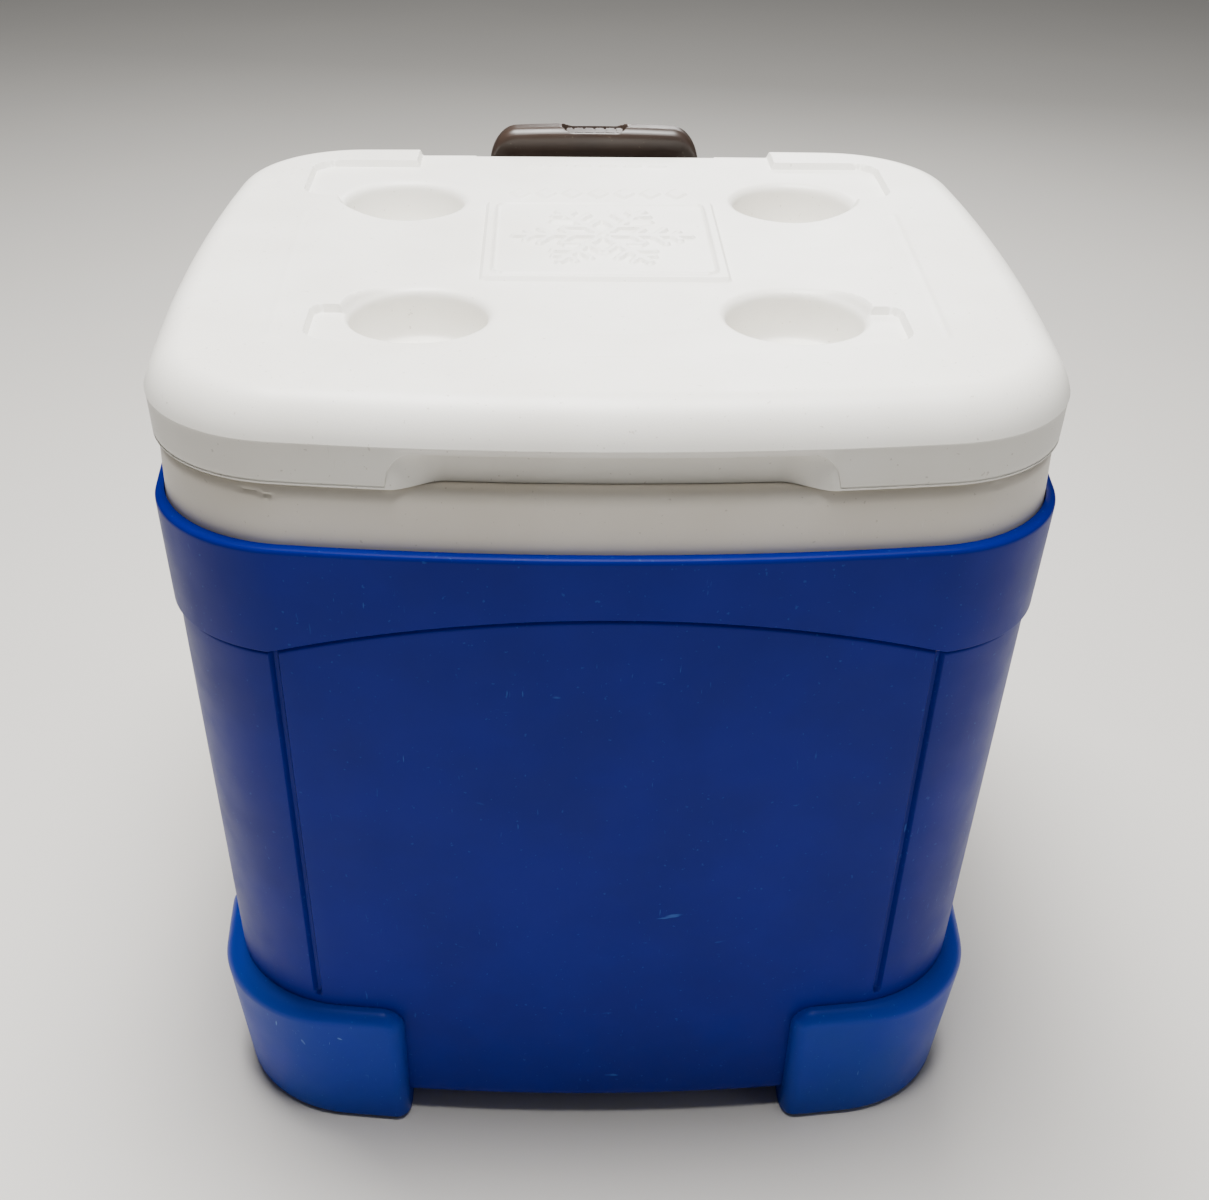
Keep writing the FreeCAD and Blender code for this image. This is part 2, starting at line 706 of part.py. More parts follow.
def tray_recess():
    """The shallow tray in the top, open to the back, with a wing beside each cup."""
    right = [(114, FAR), (114, 155), (162, 153), (179, 130), (179, 86), (118, 86),
             (97, -100), (151, -100), (151, -136), (143, -147), (75, -162), (0, -166.6)]
    left = [(-x, y) for x, y in reversed(right[:-1])]
    return prism("tray", "XY_Plane", right + left, D.lid_top - D.tray_depth, D.tray_depth + 5)


def lid_shell(extra_bores):
    wall = D.lid_wall
    block = outline_pad("lid_block", LID, D.lid_top - D.lid_edge)
    round_rim(block, D.lid_top, D.lid_crown)
    ceiling = D.lid_top - D.tray_depth - wall
    hollow = outline_pad("lid_hollow", inset(at_height(LID, D.lid_edge - 1), wall),
                         ceiling - D.lid_edge + 1)
    round_rim(hollow, ceiling, D.lid_crown - wall)
    floor = D.lid_top - D.tray_depth - D.cup_depth
    walls = cups("cup_wall", D.cup_radius + D.cup_wall, floor - D.cup_wall, D.lid_top)
    hollow = cut("lid_inside", hollow, [*walls, finger_recess("finger_wall", wall),
                                        rear_notch("notch_wall_space", wall)])
    node("lid_shell", cut("lid_shell_solid", block, [
        hollow, tray_recess(), *cups("cup", D.cup_radius, floor, D.lid_top + 5),
        finger_recess("finger_space", 0), rear_notch("notch_space", 0), *extra_bores]))


def lid_plug_level(z, amount):
    return inset(at_height(TUB_TOP, z), D.plug_gap + amount)


def lid_liner():
    """The panel that closes the lid from below, with the plug that fills the tub's mouth."""
    gap = 0.2
    panel = outline_pad("panel", inset(LID, D.lid_wall + gap), D.panel_thick)
    low = D.lid_edge - D.plug_depth
    plug = outline_pad("plug", lid_plug_level(low, 0), D.plug_depth + D.panel_thick)
    hollow = outline_pad("plug_hollow", lid_plug_level(low + D.liner_wall, D.liner_wall),
                         D.plug_depth + 5)
    node("lid_liner", cut("lid_liner_solid", fuse("lid_liner_block", [panel, plug]), [
        hollow, finger_recess("panel_finger", D.lid_wall + gap),
        rear_notch("panel_notch", D.lid_wall + gap)]))


def lid_insulation(extra_bores):
    gap = 0.3
    reach = D.lid_wall + gap
    low = D.lid_edge + D.panel_thick + gap
    ceiling = D.lid_top - D.tray_depth - reach
    block = outline_pad("lid_foam", inset(at_height(LID, low), reach), ceiling - low)
    round_rim(block, ceiling, D.lid_crown - reach)
    plug_low = D.lid_edge - D.plug_depth + D.liner_wall + gap
    plug = outline_pad("lid_foam_plug", lid_plug_level(plug_low, D.liner_wall + gap),
                       low - plug_low + 1)
    floor = D.lid_top - D.tray_depth - D.cup_depth - D.cup_wall - gap
    node("lid_insulation", cut("lid_insulation_solid", fuse("lid_foam_block", [block, plug]), [
        *cups("foam_cup", D.cup_radius + D.cup_wall + gap, floor, D.lid_top),
        finger_recess("foam_finger", reach), rear_notch("foam_notch", reach), *extra_bores]))


# ---------------------------------------------------------------- lid hinges
def hinge_parts():
    """Brackets on the collar, leaves on the lid, and the pins between them."""
    eye_wide = 12
    leaf_gap = 0.5
    plate_front = D.collar_rear + 0.1
    leaf_front = D.lid_rear + 0.1
    bracket_spots = []
    leaf_spots = []
    for side, way in SIDES.items():
        middle = D.hinge_x * way
        low = middle - D.hinge_half
        high = middle + D.hinge_half
        plate = box(f"bracket_plate_{side}", (low, high), (plate_front, plate_front + 4),
                    (D.rim_top + 1, 474))
        profile = [(plate_front, 474), (plate_front, 462), (plate_front + 5, 462),
                   (D.hinge_y + 5.6, D.hinge_z - 2), (D.hinge_y - 5.6, D.hinge_z + 2)]
        pieces = [plate]
        for tag, start in (("inner", low), ("outer", high - eye_wide)):
            pieces.append(prism(f"ear_{side}_{tag}", "YZ_Plane", profile, start, eye_wide))
            pieces.append(rod(f"eye_{side}_{tag}", "X", (start, D.hinge_y, D.hinge_z),
                              eye_wide, D.knuckle_radius))
        pin_length = D.hinge_half * 2 + 2
        pin_start = low - 1
        bore = rod(f"bracket_bore_{side}", "X", (pin_start, D.hinge_y, D.hinge_z),
                   pin_length, D.hinge_pin_r + 0.02)
        for at in (low + 7, high - 7):
            bracket_spots.append((at, plate_front + 4, 449))
            leaf_spots.append((at, leaf_front + 3, 486.5))
        yield side, "bracket", cut(f"bracket_blank_{side}", fuse(f"bracket_{side}", pieces), [bore])
        leaf_low = low + eye_wide + leaf_gap
        leaf_high = high - eye_wide - leaf_gap
        leaf = fuse(f"leaf_{side}", [
            box(f"leaf_plate_{side}", (low, high), (leaf_front, leaf_front + 3), (479, 494)),
            box(f"leaf_arm_{side}", (leaf_low, leaf_high), (leaf_front, D.hinge_y), (487.5, 492.5)),
            rod(f"leaf_eye_{side}", "X", (leaf_low, D.hinge_y, D.hinge_z),
                leaf_high - leaf_low, D.knuckle_radius),
        ])
        bore = rod(f"leaf_bore_{side}", "X", (pin_start, D.hinge_y, D.hinge_z),
                   pin_length, D.hinge_pin_r + 0.08)
        yield side, "leaf", cut(f"leaf_blank_{side}", leaf, [bore])
        node(f"hinge_pin_{side}", fuse(f"hinge_pin_{side}_solid", [
            rod(f"pin_stem_{side}", "X", (pin_start, D.hinge_y, D.hinge_z),
                pin_length, D.hinge_pin_r),
            rod(f"pin_head_{side}", "X", (low - 2.5, D.hinge_y, D.hinge_z), 2.4, 4.2),
        ]))
    yield "all", "bracket_screws", screws("hinge_bracket_screws", "Y", 1, bracket_spots, 16)
    yield "all", "leaf_screws", screws("hinge_leaf_screws", "Y", 1, leaf_spots, 14)


def hinges():
    blanks = {(side, kind): solid for side, kind, solid in hinge_parts()}
    bracket_bores = blanks["all", "bracket_screws"]
    leaf_bores = blanks["all", "leaf_screws"]
    for side in SIDES:
        node(f"hinge_bracket_{side}", cut(f"hinge_bracket_{side}_solid",
                                          blanks[side, "bracket"], [bracket_bores]))
        node(f"hinge_leaf_{side}", cut(f"hinge_leaf_{side}_solid",
                                       blanks[side, "leaf"], [leaf_bores]))
    return bracket_bores, leaf_bores


# ---------------------------------------------------------------- pull handle
TUBE_TOP = {"outer": 468, "mid": 480, "inner": 500}
TUBE_FOOT = {"outer": 100, "mid": 106, "inner": 115}


def tubes():
    """Three nested tubes on each side, each sliding in the next larger one."""
    sizes = {"outer": (D.outer_tube_r, D.outer_bore_r), "mid": (D.mid_tube_r, D.mid_bore_r),
             "inner": (D.inner_tube_r, D.inner_bore_r)}
    for side, way in SIDES.items():
        x = D.tube_x * way
        for stage, (radius, bore) in sizes.items():
            low = TUBE_FOOT[stage]
            high = TUBE_TOP[stage]
            tools = [rod(f"{stage}_{side}_bore", "Z", (x, D.tube_y, low - 1),
                         high - low + 2, bore)]
            if stage == "inner":
                start = x if way > 0 else x - 12
                tools.append(rod(f"{stage}_{side}_pin_hole", "X", (start, D.tube_y, D.pin_z),
                                 12, D.pin_radius + 0.06))
            if stage == "mid":
                start = x if way > 0 else x - 12
                tools.append(rod(f"{stage}_{side}_lock_hole", "X", (start, D.tube_y, D.pin_z + 250),
                                 12, D.pin_radius + 0.3))
            body = rod(f"{stage}_{side}_tube", "Z", (x, D.tube_y, low), high - low, radius)
            node(f"{stage}_tube_{side}", cut(f"{stage}_tube_{side}_solid", body, tools))


def tube_bores(name, radius, low, high):
    return [rod(f"{name}_{side}", "Z", (D.tube_x * way, D.tube_y, low), high - low, radius)
            for side, way in SIDES.items()]


def handle_blocks():
    """The two plastic blocks that hold the outer tubes in their recess."""
    half = D.channel_half - 1
    front = D.channel_front + 0.5
    back = 216.5
    web = 195
    spots = [(x, web, z) for z in (106, 456) for x in (-20, 20)]
    bores = screws("handle_block_screws", "Y", 1, spots, 22)
    for label, low, high, socket in (("handle_top_block", 443, 468.5, 440),
                                     ("handle_foot_block", 93, 118, 99.9)):
        block = box(f"{label}_block", (-half, half), (front, back), (low, high))
        relief = box(f"{label}_relief", (-34, 34), (web, back + 5), (low - 1, high + 1))
        node(label, cut(f"{label}_solid", block, [
            relief, bores, *tube_bores(f"{label}_bore", D.outer_tube_r + 0.05, socket, high + 1)]))
    return bores


def mid_bridge():
    """The bar that ties the tops of the middle tubes together."""
    bar = box("bridge_bar", (-62, 62), (D.tube_y - 12, D.tube_y + 12), (470.5, 480))
    node("mid_bridge", cut("mid_bridge_solid", bar,
                           tube_bores("bridge_bore", D.mid_tube_r + 0.02, 460, 490)))


def grip():
    """A hollow grip in two halves, with a finger gap below it."""
    half = D.grip_half
    gap_half = D.grip_gap_half
    right = [(gap_half, D.grip_low), (half, D.grip_low), (half, D.grip_top - 18),
             (half - 7, D.grip_top - 6), (half - 19, D.grip_top)]
    left = [(-x, z) for x, z in reversed(right)]
    arch = [(-gap_half, D.grip_arch - 6), (6 - gap_half, D.grip_arch),
            (gap_half - 6, D.grip_arch), (gap_half, D.grip_arch - 6)]
    corners = right + left + arch
    spots = [(x, D.tube_y + 10, 506) for x in (-62, 62)]
    bores = screws("grip_screws", "Y", 1, [shifted(spot, "Y", -2.4) for spot in spots], 14)
    heads = [rod(f"grip_head_{index}", "Y", shifted(spot, "Y", -2.4), 5, HEAD_RADIUS + 0.2)
             for index, spot in enumerate(spots)]
    room = box("grip_room", (-56, 56), (D.tube_y - 7, D.tube_y + 7), (501, 517.2))
    mouth = box("grip_mouth", (-D.button_half - 0.5, D.button_half + 0.5),
                (D.tube_y - 6, D.tube_y + 6), (517, D.grip_top + 1))
    sockets = tube_bores("grip_socket", D.inner_tube_r + 0.05, 480, 502)
    for label, start in (("grip_front", D.tube_y - 10), ("grip_back", D.tube_y)):
        # the profile plane faces -Y, so a half's depth is measured back from its rear face
        blank = prism(f"{label}_block", "XZ_Plane", corners, -(start + 10), 10)
        node(label, cut(f"{label}_solid", blank, [room, mouth, *sockets, bores, *heads]))


def release_parts():
    """Button, yoke, push rods, lock pins and the spring that lifts the button."""
    button = box("button_block", (-D.button_half, D.button_half),
                 (D.tube_y - 5.5, D.tube_y + 5.5), (D.yoke_top, D.button_top))
    grooves = [box(f"button_groove_{index}", (7 * index - 0.8, 7 * index + 0.8),
                   (D.tube_y - 7, D.tube_y + 7), (D.button_top - 0.8, D.button_top + 1))
               for index in (-2, -1, 0, 1, 2)]
    node("release_button", cut("release_button_solid", button, grooves))
    node("release_yoke", box("release_yoke_solid", (-52, 52), (D.tube_y - 4, D.tube_y + 4),
                             (D.yoke_low, D.yoke_top)))
    for side, way in SIDES.items():
        rod_x = (D.tube_x - 3.5) * way
        node(f"push_rod_{side}", rod(f"push_rod_{side}_solid", "Z", (rod_x, D.tube_y, 131),
                                     D.yoke_low - 131, 2))
        start = D.tube_x + 0.5 if way > 0 else -D.tube_x - 7.5
        node(f"lock_pin_{side}", rod(f"lock_pin_{side}_solid", "X", (start, D.tube_y, D.pin_z),
                                     7, D.pin_radius))
        carrier = rod(f"carrier_{side}", "Z", (D.tube_x * way, D.tube_y, 115.5), 11.5,
                      D.inner_bore_r - 0.1)
        tunnel = rod(f"carrier_bore_{side}", "X", (D.tube_x * way - 10, D.tube_y, D.pin_z),
                     20, D.pin_radius + 0.06)
        node(f"pin_carrier_{side}", cut(f"pin_carrier_{side}_solid", carrier, [tunnel]))


def button_spring():
    """An open coil between the floor of the grip and the yoke."""
    wire = 0.4
    coil = 3.4
    low = 501 + wire
    high = D.yoke_low.number - wire
    helix = Part.makeHelix((high - low) / 3, high - low, coil)
    start = helix.Edges[0]
    tangent = start.tangentAt(start.FirstParameter)
    ring = Part.Wire([Part.makeCircle(wire, start.valueAt(start.FirstParameter), tangent)])
    spring = document.addObject("Part::Feature", "button_spring_solid")
    spring.Shape = Part.Wire(helix.Edges).makePipeShell([ring], True, True)
    spring.Placement = FreeCAD.Placement(Vector(0, D.tube_y.number, low), FreeCAD.Rotation())
    node("button_spring", spring)


# ---------------------------------------------------------------- wheels and axle
def wheel_parts():
    node("axle", rod("axle_solid", "X", (-D.axle_half, D.axle_y, D.axle_z),
                     D.axle_half * 2, D.axle_radius))
    bore = D.axle_radius + 0.08
    near = D.wheel_side
    far = near + D.wheel_wide
    inner = D.tyre_inner
    web_low = near + D.wheel_wide * 0.5 - 3
    web_high = web_low + 6
    hub = [(near - 3, bore), (far + 1, bore), (far + 1, 13), (web_high, 14), (web_high, 37),
           (far - 1, 40), (far - 1, inner), (near + 1, inner), (near + 1, 40), (web_low, 37),
           (web_low, 14), (near - 3, 13)]
    tread = D.wheel_radius
    tyre = [(near + 1, inner), (far - 1, inner), (far, inner + 2), (far, tread - 5),
            (far - 4, tread - 1), (far - 8, tread), (near + 8, tread), (near + 4, tread - 1),
            (near, tread - 5), (near, inner + 2)]
    cap = [(far + 1.3, D.axle_radius + 0.02), (D.axle_half, D.axle_radius + 0.02),
           (D.axle_half + 0.1, 0), (D.axle_half + 1.6, 0), (D.axle_half + 1.2, 6),
           (far + 4, 9), (far + 1.3, 9)]
    centre = (0, D.axle_y, D.axle_z)
    for side, way in SIDES.items():
        for label, profile in (("wheel_hub", hub), ("tyre", tyre), ("axle_cap", cap)):
            corners = [(as_size(x) * way, as_size(r)) for x, r in profile]
            solid = revolve(f"{label}_{side}_solid", corners, centre)
            if label == "wheel_hub":
                cut_windows(solid, side, way, web_low, web_high)
            node(f"{label}_{side}", solid)


def cut_windows(body, side, way, web_low, web_high):
    """Five round windows in the disc of a wheel."""
    middle = (as_size(web_low) + web_high) * (0.5 * way)
    sketch = new_sketch(body, f"window_{side}", "YZ_Plane", middle)
    circle(sketch, (0, 26), 8)
    window = body.newObject("PartDesign::Pocket", f"window_cut_{side}")
    window.Profile = sketch
    window.Midplane = True
    bind(window, "Length", 12)
    document.recompute()
    ring = body.newObject("PartDesign::PolarPattern", f"windows_{side}")
    ring.Originals = [window]
    ring.Axis = (sketch, ["N_Axis"])
    ring.Angle = 360
    ring.Occurrences = 5
    body.Tip = ring


def axle_retainers():
    """The two saddles that hold the axle up in its slot."""
    x = 120
    low = 12
    spots = [(x * way, D.axle_y + step, low) for way in (-1, 1) for step in (-18, 18)]
    bores = screws("axle_retainer_screws", "Z", -1, spots, 16)
    for side, way in SIDES.items():
        middle = as_size(x * way)
        plate = box(f"saddle_plate_{side}", (middle - 15, middle + 15),
                    (D.axle_y - 26, D.axle_y + 26), (low, D.shell_floor - 0.1))
        post = box(f"saddle_post_{side}", (middle - 12, middle + 12),
                   (D.axle_y - 4.7, D.axle_y + 4.7), (low, D.axle_z - 1))
        seat = rod(f"saddle_seat_{side}", "X", (middle - 20, D.axle_y, D.axle_z), 40,
                   D.axle_radius + 0.1)
        node(f"axle_retainer_{side}", cut(f"axle_retainer_{side}_solid",
                                          fuse(f"saddle_{side}", [plate, post]), [seat, bores]))
    return bores


# ---------------------------------------------------------------- drain
def drain_parts():
    """A spout through the left wall, its nut and seal inside and its screw cap outside."""
    centre = (0, D.drain_y, D.drain_z)
    tube = D.drain_tube
    bore = D.drain_bore
    spout = [(-230.6, bore), (-162, bore), (-162, tube), (-227.6, tube), (-227.6, 17), (-230.6, 17)]
    seal = [(-170.6, tube + 0.05), (-168.6, tube + 0.05), (-168.6, 15), (-170.6, 15)]
    nut = [(-168.5, tube + 0.05), (-164, tube + 0.05), (-164, 15), (-168.5, 15)]
    cap = [(-236.6, 0), (-222, 0), (-222, bore - 0.4), (-231, bore - 0.4), (-231, 14),
           (-235.4, 14), (-236.6, 12.6)]
    for label, profile in (("drain_spout", spout), ("drain_seal", seal), ("drain_nut", nut),
                           ("drain_cap", cap)):
        node(label, revolve(f"{label}_solid", profile, centre))


# ---------------------------------------------------------------- build and write
def build():
    bracket_bores, leaf_bores = hinges()
    block_bores = handle_blocks()
    saddle_bores = axle_retainers()
    outer_shell([bracket_bores, block_bores, saddle_bores])
    inner_liner([bracket_bores, block_bores])
    insulation_core([bracket_bores, block_bores, saddle_bores])
    lid_shell([leaf_bores])
    lid_liner()
    lid_insulation([leaf_bores])
    tubes()
    mid_bridge()
    grip()
    release_parts()
    button_spring()
    wheel_parts()
    drain_parts()


def check_and_write():
    document.recompute()
    for thing in document.Objects:
        if "Invalid" in thing.State or "Error" in thing.State:
            raise RuntimeError(f"{thing.Name} failed: {thing.State}")
    os.makedirs("parts", exist_ok=True)
    for solid in NODES:
        shape = solid.Shape
        if shape.isNull() or not shape.isValid():
            raise RuntimeError(f"{solid.Label} has no valid shape")
        shape.exportStep(os.path.join("parts", f"{solid.Label}.step"))
        print(f"{solid.Label}: {len(shape.Solids)} solid, {shape.Volume / 1000:.2f} cm3")


build()
check_and_write()
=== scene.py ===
"""The looks of a wheeled cooler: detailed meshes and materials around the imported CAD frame."""

import json
import math

import bmesh
import bpy
import numpy as np
from mathutils import Matrix, Vector
from mathutils.geometry import delaunay_2d_cdt


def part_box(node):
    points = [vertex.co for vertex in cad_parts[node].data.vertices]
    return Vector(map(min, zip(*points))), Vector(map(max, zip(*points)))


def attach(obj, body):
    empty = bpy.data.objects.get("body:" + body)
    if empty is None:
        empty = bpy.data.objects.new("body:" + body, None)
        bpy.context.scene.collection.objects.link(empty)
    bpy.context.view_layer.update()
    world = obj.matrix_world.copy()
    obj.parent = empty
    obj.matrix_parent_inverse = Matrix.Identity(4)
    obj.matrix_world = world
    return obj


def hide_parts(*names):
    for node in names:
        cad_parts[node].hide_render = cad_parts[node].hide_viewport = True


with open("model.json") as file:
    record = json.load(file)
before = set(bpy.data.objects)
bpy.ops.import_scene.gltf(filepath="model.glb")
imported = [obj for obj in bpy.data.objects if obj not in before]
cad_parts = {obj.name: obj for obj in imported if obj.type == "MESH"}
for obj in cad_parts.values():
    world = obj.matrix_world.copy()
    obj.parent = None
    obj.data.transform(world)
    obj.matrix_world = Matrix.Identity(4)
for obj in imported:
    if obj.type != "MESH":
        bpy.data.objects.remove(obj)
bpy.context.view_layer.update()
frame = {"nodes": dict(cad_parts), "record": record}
MM = 0.001


# ---------------------------------------------------------------- camera
IMAGE_WIDE = 1209
IMAGE_HIGH = 1200
SENSOR = 36.0
FOCAL_LENGTH = 1698.556
IMAGE_CENTRE = (589.52, 591.78)
CAMERA_PLACE = (-0.029034, -0.92752, 0.83176)
PITCH, YAW, ROLL = 0.5327, 0.0266, 0.0145


def make_camera():
    """The camera in front of and above the cooler, from its pitch, yaw and roll."""
    forward = Vector((math.sin(YAW) * math.cos(PITCH), math.cos(YAW) * math.cos(PITCH),
                      -math.sin(PITCH)))
    level = Vector((math.cos(YAW), -math.sin(YAW), 0))
    above = level.cross(forward)
    right = level * math.cos(ROLL) + above * math.sin(ROLL)
    up = above * math.cos(ROLL) - level * math.sin(ROLL)
    data = bpy.data.cameras.new("camera")
    data.sensor_width = SENSOR
    data.lens = FOCAL_LENGTH / IMAGE_WIDE * SENSOR
    data.shift_x = (IMAGE_WIDE / 2 - IMAGE_CENTRE[0]) / IMAGE_WIDE
    data.shift_y = (IMAGE_CENTRE[1] - IMAGE_HIGH / 2) / IMAGE_WIDE
    data.clip_start = 0.05
    data.clip_end = 50
    camera = bpy.data.objects.new("camera", data)
    bpy.context.scene.collection.objects.link(camera)
    turn = Matrix((right, up, -forward)).transposed().to_4x4()
    camera.matrix_world = Matrix.Translation(Vector(CAMERA_PLACE)) @ turn
    bpy.context.scene.camera = camera


make_camera()


# ---------------------------------------------------------------- materials
def colour(red, green, blue):
    """An sRGB colour of 0 to 255 as linear light."""
    parts = []
    for value in (red, green, blue):
        share = value / 255
        parts.append(share / 12.92 if share <= 0.04045 else ((share + 0.055) / 1.055) ** 2.4)
    return (*parts, 1.0)


class Nodes:
    """A short way to add and join shader nodes."""

    def __init__(self, name):
        self.material = bpy.data.materials.new(name)
        self.material.use_nodes = True
        self.tree = self.material.node_tree
        self.shader = self.tree.nodes["Principled BSDF"]

    def add(self, kind, inputs=None, **settings):
        made = self.tree.nodes.new(f"ShaderNode{kind}")
        for key, value in settings.items():
            setattr(made, key, value)
        for key, value in (inputs or {}).items():
            self.put(made.inputs[key], value)
        return made

    def put(self, socket, value):
        if isinstance(value, bpy.types.NodeSocket):
            self.tree.links.new(value, socket)
        else:
            socket.default_value = value

    def place(self, stretch=(1, 1, 1), turn=(0, 0, 0)):
        """Where a point lies on the object, in millimetres, stretched along an axis."""
        coordinates = self.add("TexCoord")
        scale = [1000 * part for part in stretch]
        return self.add("Mapping", {"Vector": coordinates.outputs["Object"], "Scale": scale,
                                    "Rotation": turn}).outputs["Vector"]

    def noise(self, size, detail=3.0, rough=0.5, stretch=(1, 1, 1), turn=(0, 0, 0)):
        """Noise whose blotches are about this many millimetres across."""
        return self.add("TexNoise", {"Vector": self.place(stretch, turn), "Scale": 1 / size,
                                     "Detail": detail, "Roughness": rough}).outputs["Fac"]

    def band(self, value, low, high, to_low=0.0, to_high=1.0):
        return self.add("MapRange", {"Value": value, "From Min": low, "From Max": high,
                                     "To Min": to_low, "To Max": to_high},
                        interpolation_type="SMOOTHSTEP").outputs["Result"]

    def mix(self, share, first, second):
        made = self.add("Mix", {0: share}, data_type="RGBA")
        self.put(made.inputs[6], first)
        self.put(made.inputs[7], second)
        return made.outputs[2]

    def math(self, operation, first, second):
        return self.add("Math", {0: first, 1: second}, operation=operation).outputs[0]

    def bump(self, height, distance, strength=1.0, below=None):
        inputs = {"Height": height, "Distance": distance * MM, "Strength": strength}
        if below is not None:
            inputs["Normal"] = below
        return self.add("Bump", inputs).outputs["Normal"]


def plastic(name, base, shade, rough, grain=0.6, grain_depth=0.02, worn=0.0, scuff=None,
            speck=None, sheen=0.5):
    """Moulded plastic: blotchy colour, a fine grain, specks, and thin scratches."""
    n = Nodes(name)
    blotch = n.noise(70, 4)
    tint = n.mix(n.band(blotch, 0.3, 0.7), base, shade)
    if speck:
        spots = n.band(n.noise(2.4, 1), 0.73, 0.78)
        tint = n.mix(n.math("MULTIPLY", spots, speck[1]), tint, speck[0])
    scratch_height = None
    if scuff:
        across = n.noise(1.6, 2, stretch=(1, 0.05, 0.12), turn=(0.3, 0.5, 0.8))
        along = n.noise(1.3, 2, stretch=(0.06, 1, 0.16), turn=(0.9, 0.2, 0.4))
        lines = n.math("MAXIMUM", n.band(across, 0.70, 0.76), n.band(along, 0.71, 0.77))
        where = n.band(n.noise(55, 3), 0.52, 0.66)
        scratch_height = n.math("MULTIPLY", lines, where)
        tint = n.mix(n.math("MULTIPLY", scratch_height, scuff[1]), tint, scuff[0])
    n.put(n.shader.inputs["Base Color"], tint)
    dull = n.band(n.noise(22, 4), 0.3, 0.7, rough - 0.02, rough + 0.04)
    n.put(n.shader.inputs["Roughness"], dull)
    n.shader.inputs["Specular IOR Level"].default_value = sheen
    pebble = n.bump(n.noise(grain, 2), grain_depth)
    waves = n.bump(n.noise(38, 1), 0.012 + worn, 1.0, pebble)
    if scratch_height is not None:
        waves = n.bump(scratch_height, -0.05, 1.0, waves)
    n.put(n.shader.inputs["Normal"], waves)
    return n.material


def metal(name, base, shade, rough, stretch=(1, 1, 0.02)):
    """Drawn metal: fine lines along its length and a few dull patches."""
    n = Nodes(name)
    lines = n.noise(0.5, 3, stretch=stretch)
    patches = n.noise(18, 4)
    tint = n.mix(n.band(patches, 0.35, 0.7), base, shade)
    n.put(n.shader.inputs["Base Color"], tint)
    n.shader.inputs["Metallic"].default_value = 1.0
    n.put(n.shader.inputs["Roughness"], n.band(lines, 0.3, 0.7, rough - 0.08, rough + 0.1))
    n.put(n.shader.inputs["Normal"], n.bump(lines, 0.01))
    return n.material


WHITE_LID = plastic("lid_white", colour(238, 236, 230), colour(232, 229, 222), 0.42, 0.9,
                    0.035, speck=(colour(150, 140, 125), 0.35),
                    scuff=(colour(205, 200, 190), 0.35))
WHITE_COLLAR = plastic("collar_cream", colour(228, 222, 212), colour(222, 215, 203), 0.4, 1.1,
                       0.02, speck=(colour(140, 128, 110), 0.3),
                       scuff=(colour(250, 247, 240), 0.5))
WHITE_PANEL = plastic("panel_white", colour(226, 224, 218), colour(218, 215, 207), 0.38, 1.4,
                      0.015)
BLUE = plastic("shell_blue", colour(0, 21, 132), colour(0, 19, 122), 0.42, 0.8, 0.03,
               speck=(colour(60, 110, 190), 0.25), scuff=(colour(70, 120, 200), 0.45), sheen=0.1)
# Feet blue, partly real wear and partly painted light: the heavier, lighter scuffs and specks are
# wear, while the lighter base than the shell blue is a painted highlight standing in for the light
# from above on the feet.
BLUE_SCUFFED_PAINTED_LIGHT = plastic("shell_blue_scuffed_painted_light", colour(6, 44, 158), colour(8, 50, 150), 0.4, 0.8, 0.04,
                    speck=(colour(60, 110, 190), 0.35), scuff=(colour(96, 138, 205), 0.8),
                    sheen=0.14)
FOAM = plastic("foam_cream", colour(232, 214, 160), colour(214, 190, 130), 0.9, 1.2, 0.3)
HINGE = plastic("hinge_white", colour(218, 215, 208), colour(206, 202, 194), 0.4, 0.8, 0.02)
ZINC = metal("zinc_plate", colour(176, 176, 172), colour(150, 148, 140), 0.3, (1, 1, 1))
TUBE = metal("tube_grey", colour(152, 154, 158), colour(145, 147, 151), 0.28)
GRIP = plastic("grip_brown", colour(52, 40, 33), colour(42, 32, 27), 0.36, 0.5, 0.02,
               speck=(colour(110, 100, 90), 0.3))
WHEEL = plastic("wheel_black", colour(34, 34, 36), colour(26, 26, 28), 0.45, 0.7, 0.04,
                scuff=(colour(90, 90, 92), 0.4))
TYRE = plastic("tyre_rubber", colour(30, 29, 28), colour(44, 41, 38), 0.72, 1.0, 0.08,
               scuff=(colour(95, 88, 78), 0.6))
DRAIN = plastic("drain_white", colour(222, 220, 214), colour(210, 206, 198), 0.4, 0.6, 0.02)
SEAL = plastic("seal_black", colour(28, 28, 28), colour(38, 37, 36), 0.6, 0.8, 0.03)
FINISH = {
    "blue_shell": BLUE, "white_liner": WHITE_COLLAR, "white_lid": WHITE_LID,
    "white_panel": WHITE_PANEL, "foam": FOAM, "hinge_plastic": HINGE, "zinc_steel": ZINC,
    "tube_metal": TUBE, "handle_plastic": GRIP, "wheel_plastic": WHEEL, "tyre_rubber": TYRE,
    "drain_plastic": DRAIN, "seal_rubber": SEAL,
}


